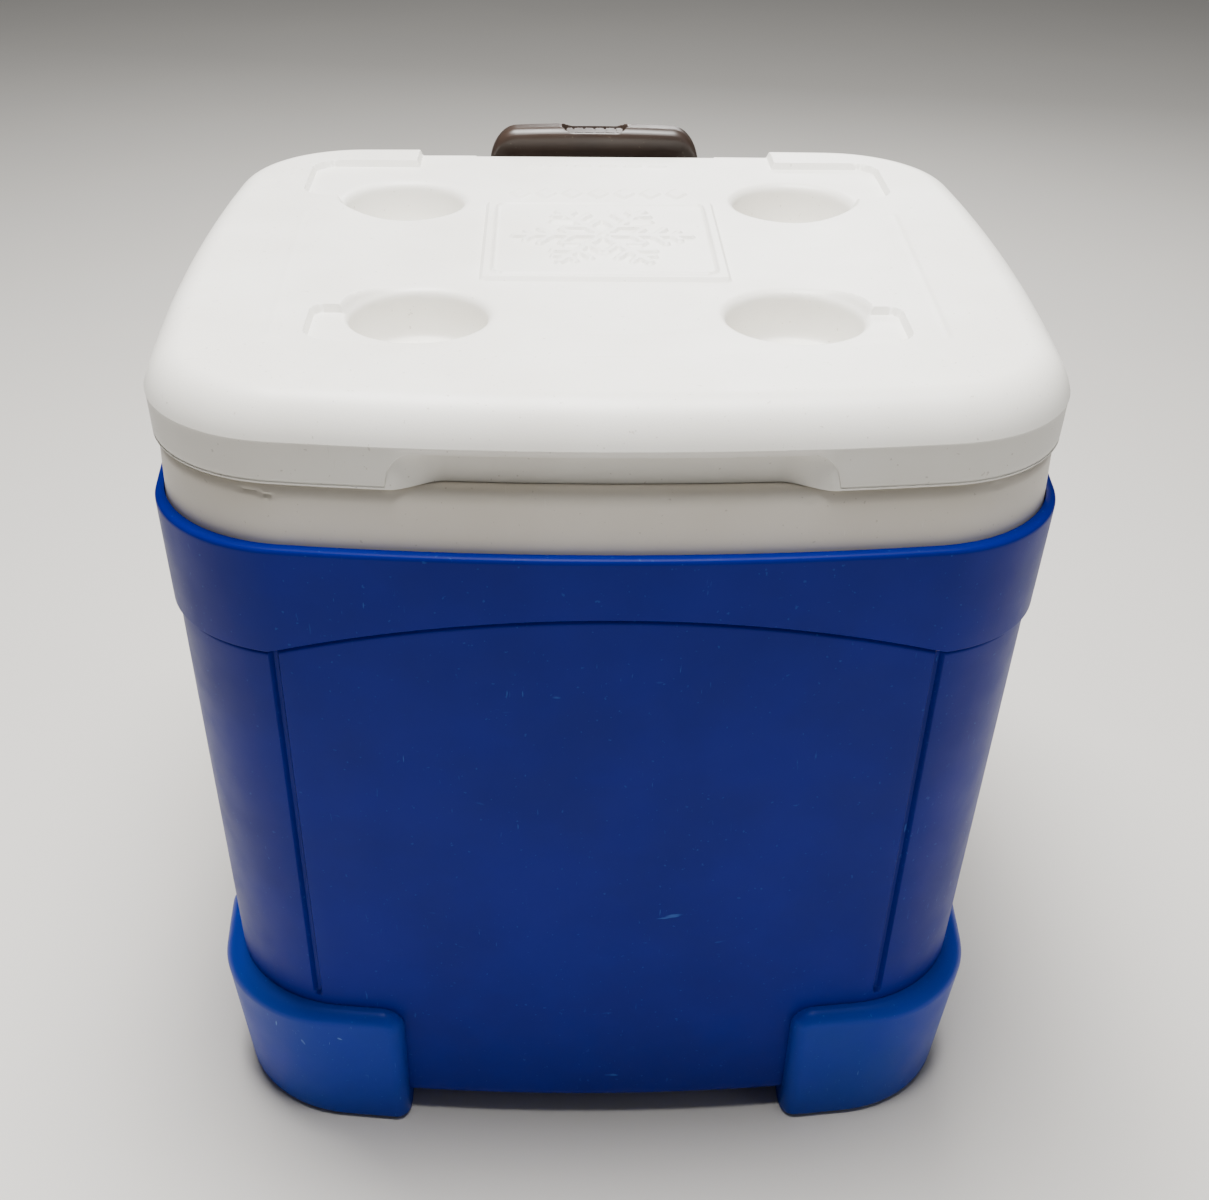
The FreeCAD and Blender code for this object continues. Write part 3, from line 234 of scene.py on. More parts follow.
# ---------------------------------------------------------------- mesh building
class Skin:
    """Points and faces gathered ring by ring, in millimetres."""

    def __init__(self):
        self.points = []
        self.count = 0
        self.faces = []

    def add(self, x, y, z):
        """Add points and return their numbers."""
        x, y, z = np.broadcast_arrays(np.asarray(x, float), y, z)
        self.points.append(np.stack([x.ravel(), y.ravel(), z.ravel()], axis=1))
        first = self.count
        self.count += x.size
        return np.arange(first, self.count).reshape(x.shape)

    def bridge(self, inner, outer, closed=True):
        """A strip of faces between two rows of points."""
        if closed:
            inner = np.append(inner, inner[0])
            outer = np.append(outer, outer[0])
        quads = np.stack([inner[:-1], outer[:-1], outer[1:], inner[1:]], axis=1)
        self.faces.extend(quads.tolist())

    def fan(self, ring, centre, flip=False):
        around = np.append(ring, ring[0]).tolist()
        for first, second in zip(around, around[1:]):
            self.faces.append([centre, second, first] if flip else [centre, first, second])

    def build(self, name, material, sharp_angle=38):
        mesh = bpy.data.meshes.new(name)
        points = np.concatenate(self.points) * MM
        mesh.from_pydata(points.tolist(), [], self.faces)
        mesh.validate()
        mesh.polygons.foreach_set("use_smooth", [True] * len(mesh.polygons))
        mesh.set_sharp_from_angle(angle=math.radians(sharp_angle))
        mesh.materials.append(material)
        made = bpy.data.objects.new(name, mesh)
        bpy.context.scene.collection.objects.link(made)
        return made


def smooth(low, high, value):
    """A soft step from 0 at low to 1 at high."""
    share = np.clip((np.asarray(value, float) - low) / (high - low), 0, 1)
    return share * share * (3 - 2 * share)


# ---------------------------------------------------------------- bowed outlines
FRONT_BOW = 1250.0
SIDE_BOW = 1606.0
REAR_BOW = 6000.0
CORNER_WAYS = [(1, -1), (1, 1), (-1, 1), (-1, -1)]


def corner_centre(first, second, radius, way):
    """Centre of the small circle that touches two large ones from inside."""
    reach_a = first[2] - radius
    reach_b = second[2] - radius
    gap = math.hypot(second[0] - first[0], second[1] - first[1])
    along = (reach_a ** 2 - reach_b ** 2 + gap ** 2) / (2 * gap)
    aside = math.sqrt(reach_a ** 2 - along ** 2)
    ux = (second[0] - first[0]) / gap
    uy = (second[1] - first[1]) / gap
    spots = [(first[0] + ux * along - turn * uy * aside, first[1] + uy * along + turn * ux * aside)
             for turn in (1, -1)]
    return max(spots, key=lambda spot: spot[0] * way[0] + spot[1] * way[1])


class Outline:
    """A rounded rectangle with bowed sides, sampled with the same counts at every level."""

    def __init__(self, counts, half, front, rear, corner, corner_rear):
        middle = (front + rear) / 2
        bows = [(0, front + FRONT_BOW, FRONT_BOW), (half - SIDE_BOW, middle, SIDE_BOW),
                (0, rear - REAR_BOW, REAR_BOW), (SIDE_BOW - half, middle, SIDE_BOW)]
        radii = [corner, corner_rear, corner_rear, corner]
        arcs = []
        joints = []
        for index in range(4):
            after = bows[(index + 1) % 4]
            x, y = corner_centre(bows[index], after, radii[index], CORNER_WAYS[index])
            arcs += [bows[index], (x, y, radii[index])]
            for large in (bows[index], after):
                joints.append(math.atan2(y - large[1], x - large[0]))
        centre_x, centre_y, reach, angle = [], [], [], []
        for index, (x, y, radius) in enumerate(arcs):
            start = joints[index - 1]
            stop = joints[index]
            stop += 2 * math.pi * (stop < start)
            steps = counts[index]
            angle.append(start + (stop - start) * np.arange(steps) / steps)
            centre_x.append(np.full(steps, x))
            centre_y.append(np.full(steps, y))
            reach.append(np.full(steps, radius))
        self.x, self.y = np.concatenate(centre_x), np.concatenate(centre_y)
        self.reach, self.angle = np.concatenate(reach), np.concatenate(angle)

    def ring(self, inset=0.0):
        """Points of the outline drawn in by an amount, which may differ round it."""
        radius = self.reach - inset
        return self.x + radius * np.cos(self.angle), self.y + radius * np.sin(self.angle)


# ---------------------------------------------------------------- lid
LID_LOW, LID_HIGH = [[part / MM for part in corner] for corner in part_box("lid_shell")]
LID_HALF = LID_HIGH[0]
LID_FRONT, LID_REAR = LID_LOW[1], LID_HIGH[1]
LID_TOP, LID_EDGE = LID_HIGH[2], LID_LOW[2]
LID_CORNER = 80.0
CROWN = 21.0
CREASE = LID_TOP - CROWN
TRAY_DEPTH = 4.0
TRAY_FLOOR = LID_TOP - TRAY_DEPTH
CUP_DEPTH = 27.0
CUPS = [(-97.0, -103.1), (97.0, -103.1), (-118.0, 85.3), (118.0, 85.3)]
NOTCH_HALF = 78.0
NOTCH_WALL = 178.5
GRID_HALF = 182.0
GRID_FRONT, GRID_REAR = -180.0, 162.0
GRID_STEP = 1.0
EDGE_BLUR = 0.9


def box_distance(x, y, middle, half, corner=0.0):
    """Distance outside a rounded rectangle; negative inside."""
    over_x = np.abs(x - middle[0]) - half[0] + corner
    over_y = np.abs(y - middle[1]) - half[1] + corner
    outside = np.hypot(np.maximum(over_x, 0), np.maximum(over_y, 0))
    return outside + np.minimum(np.maximum(over_x, over_y), 0) - corner


def line_distance(x, y, start, end):
    along_x = end[0] - start[0]
    along_y = end[1] - start[1]
    share = ((x - start[0]) * along_x + (y - start[1]) * along_y) / (along_x ** 2 + along_y ** 2)
    share = np.clip(share, 0, 1)
    return np.hypot(x - start[0] - share * along_x, y - start[1] - share * along_y)


def tray_height(x, y):
    """How high the top of the lid lies: the tray, its wings and its soft flanks."""
    side = np.abs(x)
    wing = box_distance(x, y, (0, 118.5), (179, 35.5), 15)
    mouth = box_distance(x, y, (0, 250), (114, 167), 1)
    front_edge = -166.6 + x * x / 1010
    tab = np.maximum(box_distance(x, y, (0, -146), (151, 45), 7), front_edge - y)
    near_corner = np.hypot(np.maximum(side - 141, 0), np.maximum(front_edge + 10 - y, 0)) - 10
    tab = np.where((side > 141) & (y < front_edge + 10), np.maximum(tab, near_corner), tab)
    sunk = 1 - smooth(-EDGE_BLUR, EDGE_BLUR, np.minimum(np.minimum(wing, mouth), tab))
    rows = [-101, -60, -10, 40, 83]
    start = np.interp(y, rows, [100, 104, 110, 112, 118])
    stop = np.interp(y, rows, [136, 150, 168, 162, 152])
    flank = np.clip((side - start) / (stop - start), 0, 1)
    flank = 1 - flank * flank * (3 - 2 * flank)
    flank = flank * smooth(-EDGE_BLUR, EDGE_BLUR, y - front_edge) * (y < 90)
    height = LID_TOP - TRAY_DEPTH * np.maximum(sunk, flank)
    dish = (1 - smooth(-5, 5, np.hypot(x + 2, y + 22) - 110)) * (1 - smooth(-112, -84, y))
    height = height - 0.6 * dish * smooth(75, 45, side)
    ridge = np.exp(-(line_distance(side, y, (174, 49), (168, -141)) / 1.8) ** 2)
    return height + 0.35 * ridge


PLATE_MIDDLE = (0.5, 12.0)
PLATE_HALF = (67.5, 66.0)
PLATE_HIGH = 2.2
FLAKE_ARM = 50.0
FLAKE_TWIGS = [(17.0, 13.0), (29.0, 14.0), (40.0, 8.0)]
RELIEF_BLUR = 0.4


def raised(distance, high):
    return high * (1 - smooth(-RELIEF_BLUR, RELIEF_BLUR, distance))


def snowflake(x, y):
    """Distance to a plain six-armed snowflake."""
    sector = math.pi / 3
    angle = np.arctan2(y, x) + math.pi / 6
    folded = np.abs(np.mod(angle, sector) - sector / 2)
    reach = np.hypot(x, y)
    along = reach * np.cos(folded)
    aside = reach * np.sin(folded)
    shape = line_distance(along, aside, (5, 0), (FLAKE_ARM, 0)) - 2.6
    for root, length in FLAKE_TWIGS:
        tip = (root + length * 0.5, length * 0.866)
        shape = np.minimum(shape, line_distance(along, aside, (root, 0), tip) - 2.1)
    return shape


def lid_relief(x, y):
    """The plate with its snowflake, a row of lozenges and a row of dashes."""
    dx = x - PLATE_MIDDLE[0]
    dy = y - PLATE_MIDDLE[1]
    plate = box_distance(x, y, PLATE_MIDDLE, PLATE_HALF, 1.0)
    relief = raised(plate, PLATE_HIGH)
    relief = relief + raised(snowflake(dx, dy), 1.7)
    ring = np.abs(box_distance(x, y, PLATE_MIDDLE, (61.5, 60.0), 6.0)) - 0.8
    relief = relief + raised(ring, 1.2)
    for place in np.linspace(-48, 48, 7):
        lozenge = (np.abs(x - place) / 6.5 + np.abs(y - 99) / 9.5 - 1) * 5.4
        relief = relief + raised(lozenge, 1.2)
    for place in np.linspace(-40, 40, 6):
        relief = relief + raised(box_distance(x, y, (place, 157.5), (5.5, 1.4), 1.3), 1.0)
    return relief


def lid_height(x, y):
    return tray_height(x, y) + lid_relief(x, y)


CUP_RING = 40.5
CUP_PARTS = 200
CUP_PROFILE = [
    (39.6, 0.12), (38.7, 0.4), (37.9, 0.85), (37.2, 1.4), (36.6, 2.1), (36.1, 3.0), (35.8, 4.0),
    (35.6, 5.2), (35.5, 7.0), (35.35, 12.0), (35.2, 17.5), (35.0, 22.0), (34.6, 24.2),
    (33.9, 25.7), (32.7, 26.6), (31.0, 27.0), (24.0, 27.0), (16.0, 27.0), (8.0, 27.0),
]
CUP_WINDOW = 43.0


def cup(skin, ring, middle):
    """Line a cup holder from the rim ring down to its floor."""
    turn = 2 * math.pi * np.arange(CUP_PARTS) / CUP_PARTS
    above = ring
    for radius, drop in CUP_PROFILE:
        x = middle[0] + radius * np.cos(turn)
        y = middle[1] + radius * np.sin(turn)
        share = smooth(CUP_RING, 37.0, radius)
        level = lid_height(x, y) * (1 - share) + TRAY_FLOOR * share
        below = skin.add(x, y, level - drop)
        skin.bridge(below, above)
        above = below
    centre = skin.add([middle[0]], [middle[1]], [TRAY_FLOOR - CUP_DEPTH])[0]
    skin.fan(above, int(centre))


def lid_grid(skin):
    """The field of the lid's top with a round opening at each cup."""
    columns = np.linspace(-GRID_HALF, GRID_HALF, round(2 * GRID_HALF / GRID_STEP) + 1)
    rows = np.linspace(GRID_FRONT, GRID_REAR, round((GRID_REAR - GRID_FRONT) / GRID_STEP) + 1)
    x, y = np.meshgrid(columns, rows, indexing="ij")
    numbers = skin.add(x, y, lid_height(x, y))
    kept = np.ones((len(columns) - 1, len(rows) - 1), bool)
    for middle in CUPS:
        left, right = np.searchsorted(columns, [middle[0] - CUP_WINDOW, middle[0] + CUP_WINDOW])
        near, far = np.searchsorted(rows, [middle[1] - CUP_WINDOW, middle[1] + CUP_WINDOW])
        kept[left:right, near:far] = False
        cup_surround(skin, numbers[left:right + 1, near:far + 1], middle)
    quads = np.stack([numbers[:-1, :-1], numbers[1:, :-1], numbers[1:, 1:], numbers[:-1, 1:]],
                     axis=-1)
    skin.faces.extend(quads[kept].tolist())
    return np.concatenate([numbers[:-1, 0], numbers[-1, :-1], numbers[:0:-1, -1],
                           numbers[0, :0:-1]]), len(columns) - 1, len(rows) - 1


def cup_surround(skin, window, middle):
    """Join the square grid to a round ring, then line the cup."""
    turn = 2 * math.pi * np.arange(CUP_PARTS) / CUP_PARTS
    ring_x = middle[0] + CUP_RING * np.cos(turn)
    ring_y = middle[1] + CUP_RING * np.sin(turn)
    ring = skin.add(ring_x, ring_y, lid_height(ring_x, ring_y))
    points = np.concatenate(skin.points)
    used = window.ravel()
    reach = np.hypot(points[used, 0] - middle[0], points[used, 1] - middle[1])
    used = used[reach > CUP_RING + 0.5]
    labels = np.concatenate([used, ring])
    flat = [Vector(points[label, :2]) for label in labels]
    first = len(used)
    edges = [(first + step, first + (step + 1) % CUP_PARTS) for step in range(CUP_PARTS)]
    result = delaunay_2d_cdt(flat, edges, [], 0, 1e-5)
    sources = result[3]
    for face in result[2]:
        names = [int(labels[sources[corner][0]]) for corner in face]
        centre = points[names, :2].mean(axis=0)
        if math.hypot(centre[0] - middle[0], centre[1] - middle[1]) > CUP_RING - 0.02:
            skin.faces.append(names)
    cup(skin, ring, middle)


CORNER_CELLS = (28, 36)
FINGER_HALF = 82.0
FINGER_END = 106.0
FINGER_DEPTH = 13.6
FINGER_TOP = 490.0
PARTING = LID_EDGE + 2.1
SKIRT_LEAN = 1.1
SKIRT_END = 2.2
CROWN_STEPS = 16
CROWN_TURN = math.radians(68)
FLANK_STEPS = 8


def skirt_rows(x):
    """Height and inset of each row below the crown, column by column."""
    side = np.abs(x)
    closing = smooth(FINGER_HALF - 3, FINGER_END - 1, side)
    depth = SKIRT_END + (FINGER_DEPTH - SKIRT_END) * (1 - closing)
    fall = np.clip((side - 93) / (FINGER_END - 93), 0, 1)
    lip = PARTING + (FINGER_TOP - PARTING) * np.sqrt(1 - fall * fall)
    rows = [(CREASE - 0.4, 0.25), (CREASE - 1.0, 0.4)]
    for share in (0.2, 0.45, 0.7, 0.88):
        level = CREASE - 1.0 + (lip + 1.6 - CREASE + 1.0) * share
        rows.append((level, 0.4 + SKIRT_LEAN * share))
    rows += [
        (lip + 0.9, SKIRT_LEAN + 0.45), (lip + 0.3, SKIRT_LEAN + 0.65),
        (lip, SKIRT_END + 0.05 + 0 * x), (lip, SKIRT_END + 0.05 + (depth - SKIRT_END) * 0.3),
        (lip - 0.05, SKIRT_END + 0.05 + (depth - SKIRT_END) * 0.65),
        (lip - 0.3, SKIRT_END + (depth - SKIRT_END) * 0.9),
        (lip - 0.7, depth - 0.25 * smooth(2, 6, depth)),
    ]
    top = lip - 0.7
    for share in (0.3, 0.65, 1.0):
        inset = depth - 0.5 * smooth(SKIRT_END + 1.3, SKIRT_END, depth)
        rows.append((top + (LID_EDGE + 0.7 - top) * share, inset))
    rows += [(LID_EDGE + 0.2, depth), (LID_EDGE, depth + 0.8), (LID_EDGE, depth + 2.6),
             (LID_EDGE + 9, depth + 2.6)]
    return rows


def lid_mesh():
    """The lid: its top, the rounded crown round it, and the skirt with the hand recess."""
    skin = Skin()
    edge, wide, long = lid_grid(skin)
    front_cells, side_cells = CORNER_CELLS
    corner = front_cells + side_cells
    bow_wide = wide - 2 * front_cells
    bow_long = long - 2 * side_cells
    counts = [bow_wide, corner, bow_long, corner, bow_wide, corner, bow_long, corner]
    outline = Outline(counts, LID_HALF, LID_FRONT, LID_REAR, LID_CORNER, LID_CORNER)
    edge = np.roll(edge, -front_cells)
    points = np.concatenate(skin.points)[edge]
    outer_x, outer_y = outline.ring(0)
    notched = (outer_y > 0) & (np.abs(outer_x) < NOTCH_HALF)
    side = np.abs(outer_x)
    rear = np.where(outer_y > 150, side, 0)
    within = np.where(rear < NOTCH_HALF, rear, 0).max()
    beyond = np.where(rear >= NOTCH_HALF, rear, 1e3).min()

    def shaped(inset, back_off=0.0):
        x, y = outline.ring(inset)
        x = np.where(notched & (side >= within - 0.01), np.sign(x) * (NOTCH_HALF - 0.3), x)
        x = np.where((outer_y > 150) & (side <= beyond + 0.01) & ~notched,
                     np.sign(x) * (NOTCH_HALF + 0.3), x)
        return x, np.where(notched, np.minimum(y, NOTCH_WALL - back_off), y)

    crown_x, crown_y = shaped(CROWN)
    above = edge
    for step in range(1, FLANK_STEPS + 1):
        share = step / FLANK_STEPS
        x = points[:, 0] * (1 - share) + crown_x * share
        y = points[:, 1] * (1 - share) + crown_y * share
        below = skin.add(x, y, lid_height(x, y))
        skin.bridge(above, below)
        above = below
    for step in range(1, CROWN_STEPS + 1):
        turn = CROWN_TURN * step / CROWN_STEPS
        x, y = shaped(CROWN * (1 - math.sin(turn) / math.sin(CROWN_TURN)))
        fall = (math.cos(turn) - math.cos(CROWN_TURN)) / (1 - math.cos(CROWN_TURN))
        level = CREASE + (tray_height(x, y) - CREASE) * fall
        below = skin.add(x, y, level)
        skin.bridge(above, below)
        above = below
    for level, inset in skirt_rows(np.where(outer_y < 0, outer_x, 1e3)):
        x, y = shaped(inset)
        below = skin.add(x, y, level)
        skin.bridge(above, below)
        above = below
    return skin.build("lid_top", WHITE_LID)


# ---------------------------------------------------------------- liner with its collar
LINER_NODES = [name for name in frame["nodes"] if name.startswith("liner_")]
COLLAR_BASE = 435.2
COLLAR_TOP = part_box("liner_collar")[1][2] / MM - 0.1
COLLAR = (231.8, -225.8, 211.8, 78.0, 62.0)
TUB_TOP = (206.0, -200.0, 164.0, 50.0, 50.0)
TUB_LOW = (172.0, -146.0, 150.0, 50.0, 50.0)
TUB_FLOOR = 50.1
TUB_ROUND = 12.0
CHANNEL_HALF = 80.0
CHANNEL_FRONT = 181.0
COLLAR_COUNTS = [220, 60, 90, 50, 160, 50, 90, 60]
COLLAR_ROUND = 8.0
COLLAR_STEPS = 9
COLLAR_NICKS = [(-171, 465.5, 8.5, 0.8), (-163, 464.0, 4.5, 1.1), (25, 466.5, 3.0, 0.5),
                (185, 466.0, 4.0, 0.6), (92, 465.0, 3.5, 0.5)]


def collar_rows():
    """Inset and height of each row up the collar's face and over its rounded shoulder."""
    start = COLLAR_TOP - COLLAR_ROUND
    rows = [(0.0, level) for level in np.linspace(COLLAR_BASE, start, 14)]
    for step in range(1, COLLAR_STEPS + 1):
        turn = math.pi / 2 * step / COLLAR_STEPS
        rows.append((COLLAR_ROUND * (1 - math.cos(turn)), start + COLLAR_ROUND * math.sin(turn)))
    return rows


def liner_mesh():
    """The collar with its rounded shoulder, and the tub down to its floor."""
    skin = Skin()
    outline = Outline(COLLAR_COUNTS, *COLLAR)
    outer_x, outer_y = outline.ring(0)
    in_channel = (outer_y > 150) & (np.abs(outer_x) < CHANNEL_HALF)

    def clipped(inset):
        x, y = outline.ring(inset)
        return x, np.where(in_channel, np.minimum(y, CHANNEL_FRONT - 0.1), y)

    x, y = clipped(3.0)
    below = skin.add(x, y, COLLAR_BASE)
    for inset, level in collar_rows():
        nick = 0.0
        for place, height, reach, deep in COLLAR_NICKS:
            miss = np.hypot((outer_x - place) / reach, (level - height) / 1.3)
            nick = nick + deep * (1 - smooth(0.4, 1.0, miss)) * (outer_y < -150)
        x, y = clipped(inset + nick)
        above = skin.add(x, y, level)
        skin.bridge(above, below)
        below = above
    half, front, rear, corner, corner_rear = TUB_TOP
    for inset, drop in [(-3.0, 0.0), (-1.2, 0.3), (-0.3, 1.3), (0.1, 3.1)]:
        mouth = Outline(COLLAR_COUNTS, half - inset, front + inset, rear - inset,
                        corner - inset, corner_rear - inset)
        x, y = mouth.ring(0)
        above = skin.add(x, y, COLLAR_TOP - drop)
        skin.bridge(above, below)
        below = above
    low = np.array(TUB_LOW)
    high = np.array(TUB_TOP)
    for share in np.linspace(0.93, 0.06, 12):
        shape = low + (high - low) * share
        x, y = Outline(COLLAR_COUNTS, *shape).ring(0.1)
        above = skin.add(x, y, TUB_FLOOR + (COLLAR_TOP - TUB_FLOOR) * share)
        skin.bridge(above, below)
        below = above
    for turn in np.linspace(0.25, math.pi / 2, 6):
        inset = TUB_ROUND * (1 - math.cos(turn))
        shape = low + (high - low) * 0.03
        x, y = Outline(COLLAR_COUNTS, *shape).ring(inset + 0.1)
        above = skin.add(x, y, TUB_FLOOR + TUB_ROUND * (1 - math.sin(turn)))
        skin.bridge(above, below)
        below = above
    centre = skin.add([0.0], [0.0], [TUB_FLOOR])[0]
    skin.fan(below, int(centre))
    return skin.build("liner_moulding", WHITE_COLLAR)


# ---------------------------------------------------------------- blue shell
SHELL_LOW = (15.0, 226.0, -169.4, 213.5)
SHELL_TOP = (438.6, 234.5, -229.0, 215.5)
BAND_LOW = (360.0, 234.6, -221.4, 217.3)
BAND_TOP = (438.6, 236.7, -232.5, 217.3)
FOOT_LOW = (0.0, 230.0, -179.0, 213.5)
FOOT_TOP = (88.0, 238.4, -190.0, 213.5)
LIP_LOW = (0.0, 232.3, -226.5, 212.2)
LIP_HIGH = (500.0, 232.3, -226.5, 212.2)
SHELL_CORNER = 78.0
SEAM = 95.0
ARCH_LOW, ARCH_HIGH, ARCH_HALF = 373.6, 401.8, 170.0
GROOVE_X, GROOVE_LOW, GROOVE_HIGH, GROOVE_DEEP = 168.0, 107.0, 372.0, 2.9
CREVICE_DEEP = 1.7
CREVICE_DROP, CREVICE_HALF, CREVICE_FADE = 1.6, 1.1, 60
RIM_ROUND = 3.0
SHELL_HEEL = 8.0
TURN_X = 190.0
TURN_Y = -136.0
CORNER_STEPS = 34
RELIEF_HIGH = 1.6
RELIEF_Y = -64.0
RELIEF_Z = (136.0, 198.0, 260.0, 322.0)


def level_between(low, high, z):
    share = (z - low[0]) / (high[0] - low[0])
    return [first + (second - first) * share for first, second in zip(low[1:], high[1:])]


def stations(low, high, z, front_x, side_y):
    """Right half of an outline: points and normals at set x in front and set y at the side."""
    half, front, rear = level_between(low, high, z)
    middle = (front + rear) / 2
    front_bow = (0.0, front + FRONT_BOW, FRONT_BOW)
    side_bow = (half - SIDE_BOW, middle, SIDE_BOW)
    x, y = corner_centre(front_bow, side_bow, SHELL_CORNER, (1, -1))
    corner = (x, y, SHELL_CORNER)
    first = math.atan2(y - front_bow[1], x - front_bow[0])
    last = math.atan2(y - side_bow[1], x - side_bow[0])

    def angles_front(places):
        on_bow = np.arccos(np.clip(places / FRONT_BOW, -1, 1)) * -1
        on_corner = -np.arccos(np.clip((places - corner[0]) / corner[2], -1, 1))
        return np.where(on_bow < first, on_bow, on_corner)

    def angles_side(places):
        on_bow = np.arcsin(np.clip((places - side_bow[1]) / SIDE_BOW, -1, 1))
        on_corner = np.arcsin(np.clip((places - corner[1]) / corner[2], -1, 1))
        return np.where(on_bow > last, on_bow, on_corner)

    start = angles_front(np.array([TURN_X]))[0]
    stop = angles_side(np.array([TURN_Y]))[0]
    between = start + (stop - start) * np.arange(1, CORNER_STEPS) / CORNER_STEPS
    angle = np.concatenate([angles_front(front_x), between, angles_side(side_y)])
    arcs = np.array([front_bow, corner, side_bow])
    used = arcs[np.where(angle < first, 0, np.where(angle < last, 1, 2))]
    normal_x, normal_y = np.cos(angle), np.sin(angle)
    return (used[:, 0] + used[:, 2] * normal_x, used[:, 1] + used[:, 2] * normal_y,
            normal_x, normal_y)


def runs(*parts):
    """Places from run to run: (start, step) pairs that end with the last start."""
    places = []
    for (start, step), (stop, _) in zip(parts, parts[1:]):
        places.append(np.linspace(start, stop, max(1, round((stop - start) / step)) + 1)[:-1])
    return np.concatenate([*places, [parts[-1][0]]])


def arch_rise(x, y):
    """How far the band's lower edge lies above its lowest height."""
    radius = (ARCH_HALF ** 2 + (ARCH_HIGH - ARCH_LOW) ** 2) / (2 * (ARCH_HIGH - ARCH_LOW))
    inside = np.sqrt(radius ** 2 - np.minimum(np.abs(x), ARCH_HALF) ** 2)
    return np.where(y < 0, ARCH_HIGH - radius + inside - ARCH_LOW, 0)


def side_relief(y, z):
    """Raised lozenge links on the right side."""
    shape = np.full(np.broadcast(y, z).shape, 1e3)
    for middle in RELIEF_Z:
        lozenge = (np.abs(y - RELIEF_Y) / 44 + np.abs(z - middle) / 30 - 1) * 24.8
        shape = np.minimum(shape, np.abs(lozenge + 4.5) - 3.2)
        shape = np.minimum(shape, np.hypot(y - RELIEF_Y, z - middle) - 6.5)
    return RELIEF_HIGH * (1 - smooth(-1.1, 1.1, shape))


def shell_mesh():
    """The front and sides of the blue shell, up to the seam with its back."""
    skin = Skin()
    front_x = runs((0, 4), (104, 3), (158, 1.2), (163, 0.55), (173, 1.2), (178, 2.4), (TURN_X, 0))
    side_y = runs((TURN_Y, 1.5), (0, 4), (SEAM, 0))
    levels = runs((15, 0.8), (18, 1.6), (24, 4), (56, 1.6), (312, 3), (366, 0.9), (371.6, 0.3),
                  (377.2, 0.9), (382, 3), (432, 0.8), (438.6, 0))
    rows = []
    for level in levels:
        x, y, _, _ = stations(SHELL_LOW, SHELL_TOP, level, front_x, side_y)
        lift = arch_rise(x, y) * smooth(296, ARCH_LOW, level) * (1 - smooth(ARCH_LOW, 434, level))
        z = level + lift
        x, y, nx, ny = lifted(SHELL_LOW, SHELL_TOP, z, front_x, side_y)
        band_x, band_y, _, _ = lifted(BAND_LOW, BAND_TOP, z, front_x, side_y)
        above_arch = smooth(-0.5, 0.9, level - ARCH_LOW)
        x = x + (band_x - x) * above_arch
        y = y + (band_y - y) * above_arch
        roll = np.clip(level - (SHELL_TOP[0] - RIM_ROUND), 0, RIM_ROUND)
        inset = RIM_ROUND - math.sqrt(max(RIM_ROUND ** 2 - roll ** 2, 0))
        heel = max(SHELL_HEEL - (level - SHELL_LOW[0]), 0)
        inset += SHELL_HEEL - math.sqrt(SHELL_HEEL ** 2 - heel ** 2)
        groove = line_distance(x, z, (GROOVE_X, GROOVE_LOW), (GROOVE_X, GROOVE_HIGH))
        inset = inset + GROOVE_DEEP * (1 - smooth(1.0, 2.9, groove)) * (y < -60)
        crevice = math.exp(-((level - ARCH_LOW + CREVICE_DROP) / CREVICE_HALF) ** 2)
        inset = inset + CREVICE_DEEP * crevice * smooth(SEAM, SEAM - CREVICE_FADE, y)
        out = side_relief(y, z) * (x > 150)
        right = (x - nx * (inset - out), y - ny * (inset - out), z)
        left = (-(x - nx * inset), y - ny * inset, z)
        rows.append(skin.add(*[np.concatenate([mirrored[:0:-1], side])
                               for mirrored, side in zip(left, right)]))
    for below, above in zip(rows, rows[1:]):
        skin.bridge(above, below, closed=False)
    points = np.concatenate(skin.points)
    rim_z = points[rows[-1], 2]
    x, y, _, _ = stations(LIP_LOW, LIP_HIGH, levels[-1], front_x, side_y)
    for drop in (0.2, 3.2):
        inner = skin.add(np.concatenate([-x[:0:-1], x]), np.concatenate([y[:0:-1], y]),
                         rim_z - drop)
        skin.bridge(inner, rows[-1], closed=False)
        rows.append(inner)
    centre = skin.add([0.0], [SEAM], [points[rows[0][0], 2]])[0]
    base = rows[0].tolist()
    for first, second in zip(base, base[1:]):
        skin.faces.append([int(centre), second, first])
    return skin.build("shell_front", BLUE, 42)


def lifted(low, high, z, front_x, side_y):
    """Stations whose height differs from column to column."""
    rough = [stations(low, high, level, front_x, side_y) for level in (z.min(), z.max())]
    if z.max() - z.min() < 1e-6:
        return rough[0]
    share = (z - z.min()) / (z.max() - z.min())
    return [first + (second - first) * share for first, second in zip(*rough)]


def shell_back():
    """The back of the shell: the CAD shape behind the seam."""
    mesh = frame["nodes"]["outer_shell"].data.copy()
    work = bmesh.new()
    work.from_mesh(mesh)
    everything = list(work.verts) + list(work.edges) + list(work.faces)
    bmesh.ops.bisect_plane(work, geom=everything, plane_co=(0, SEAM * MM, 0),
                           plane_no=(0, 1, 0), clear_inner=True)
    work.to_mesh(mesh)
    work.free()
    mesh.materials.clear()
    mesh.materials.append(BLUE)
    made = bpy.data.objects.new("shell_back", mesh)
    bpy.context.scene.collection.objects.link(made)
    return made


FOOT_INNER = 117.0
FOOT_BACK = -54.0
FOOT_HEIGHT = 97.0
FOOT_ROUND = 9.0
FOOT_CORNER = 14.0
FOOT_HEEL = 5.0


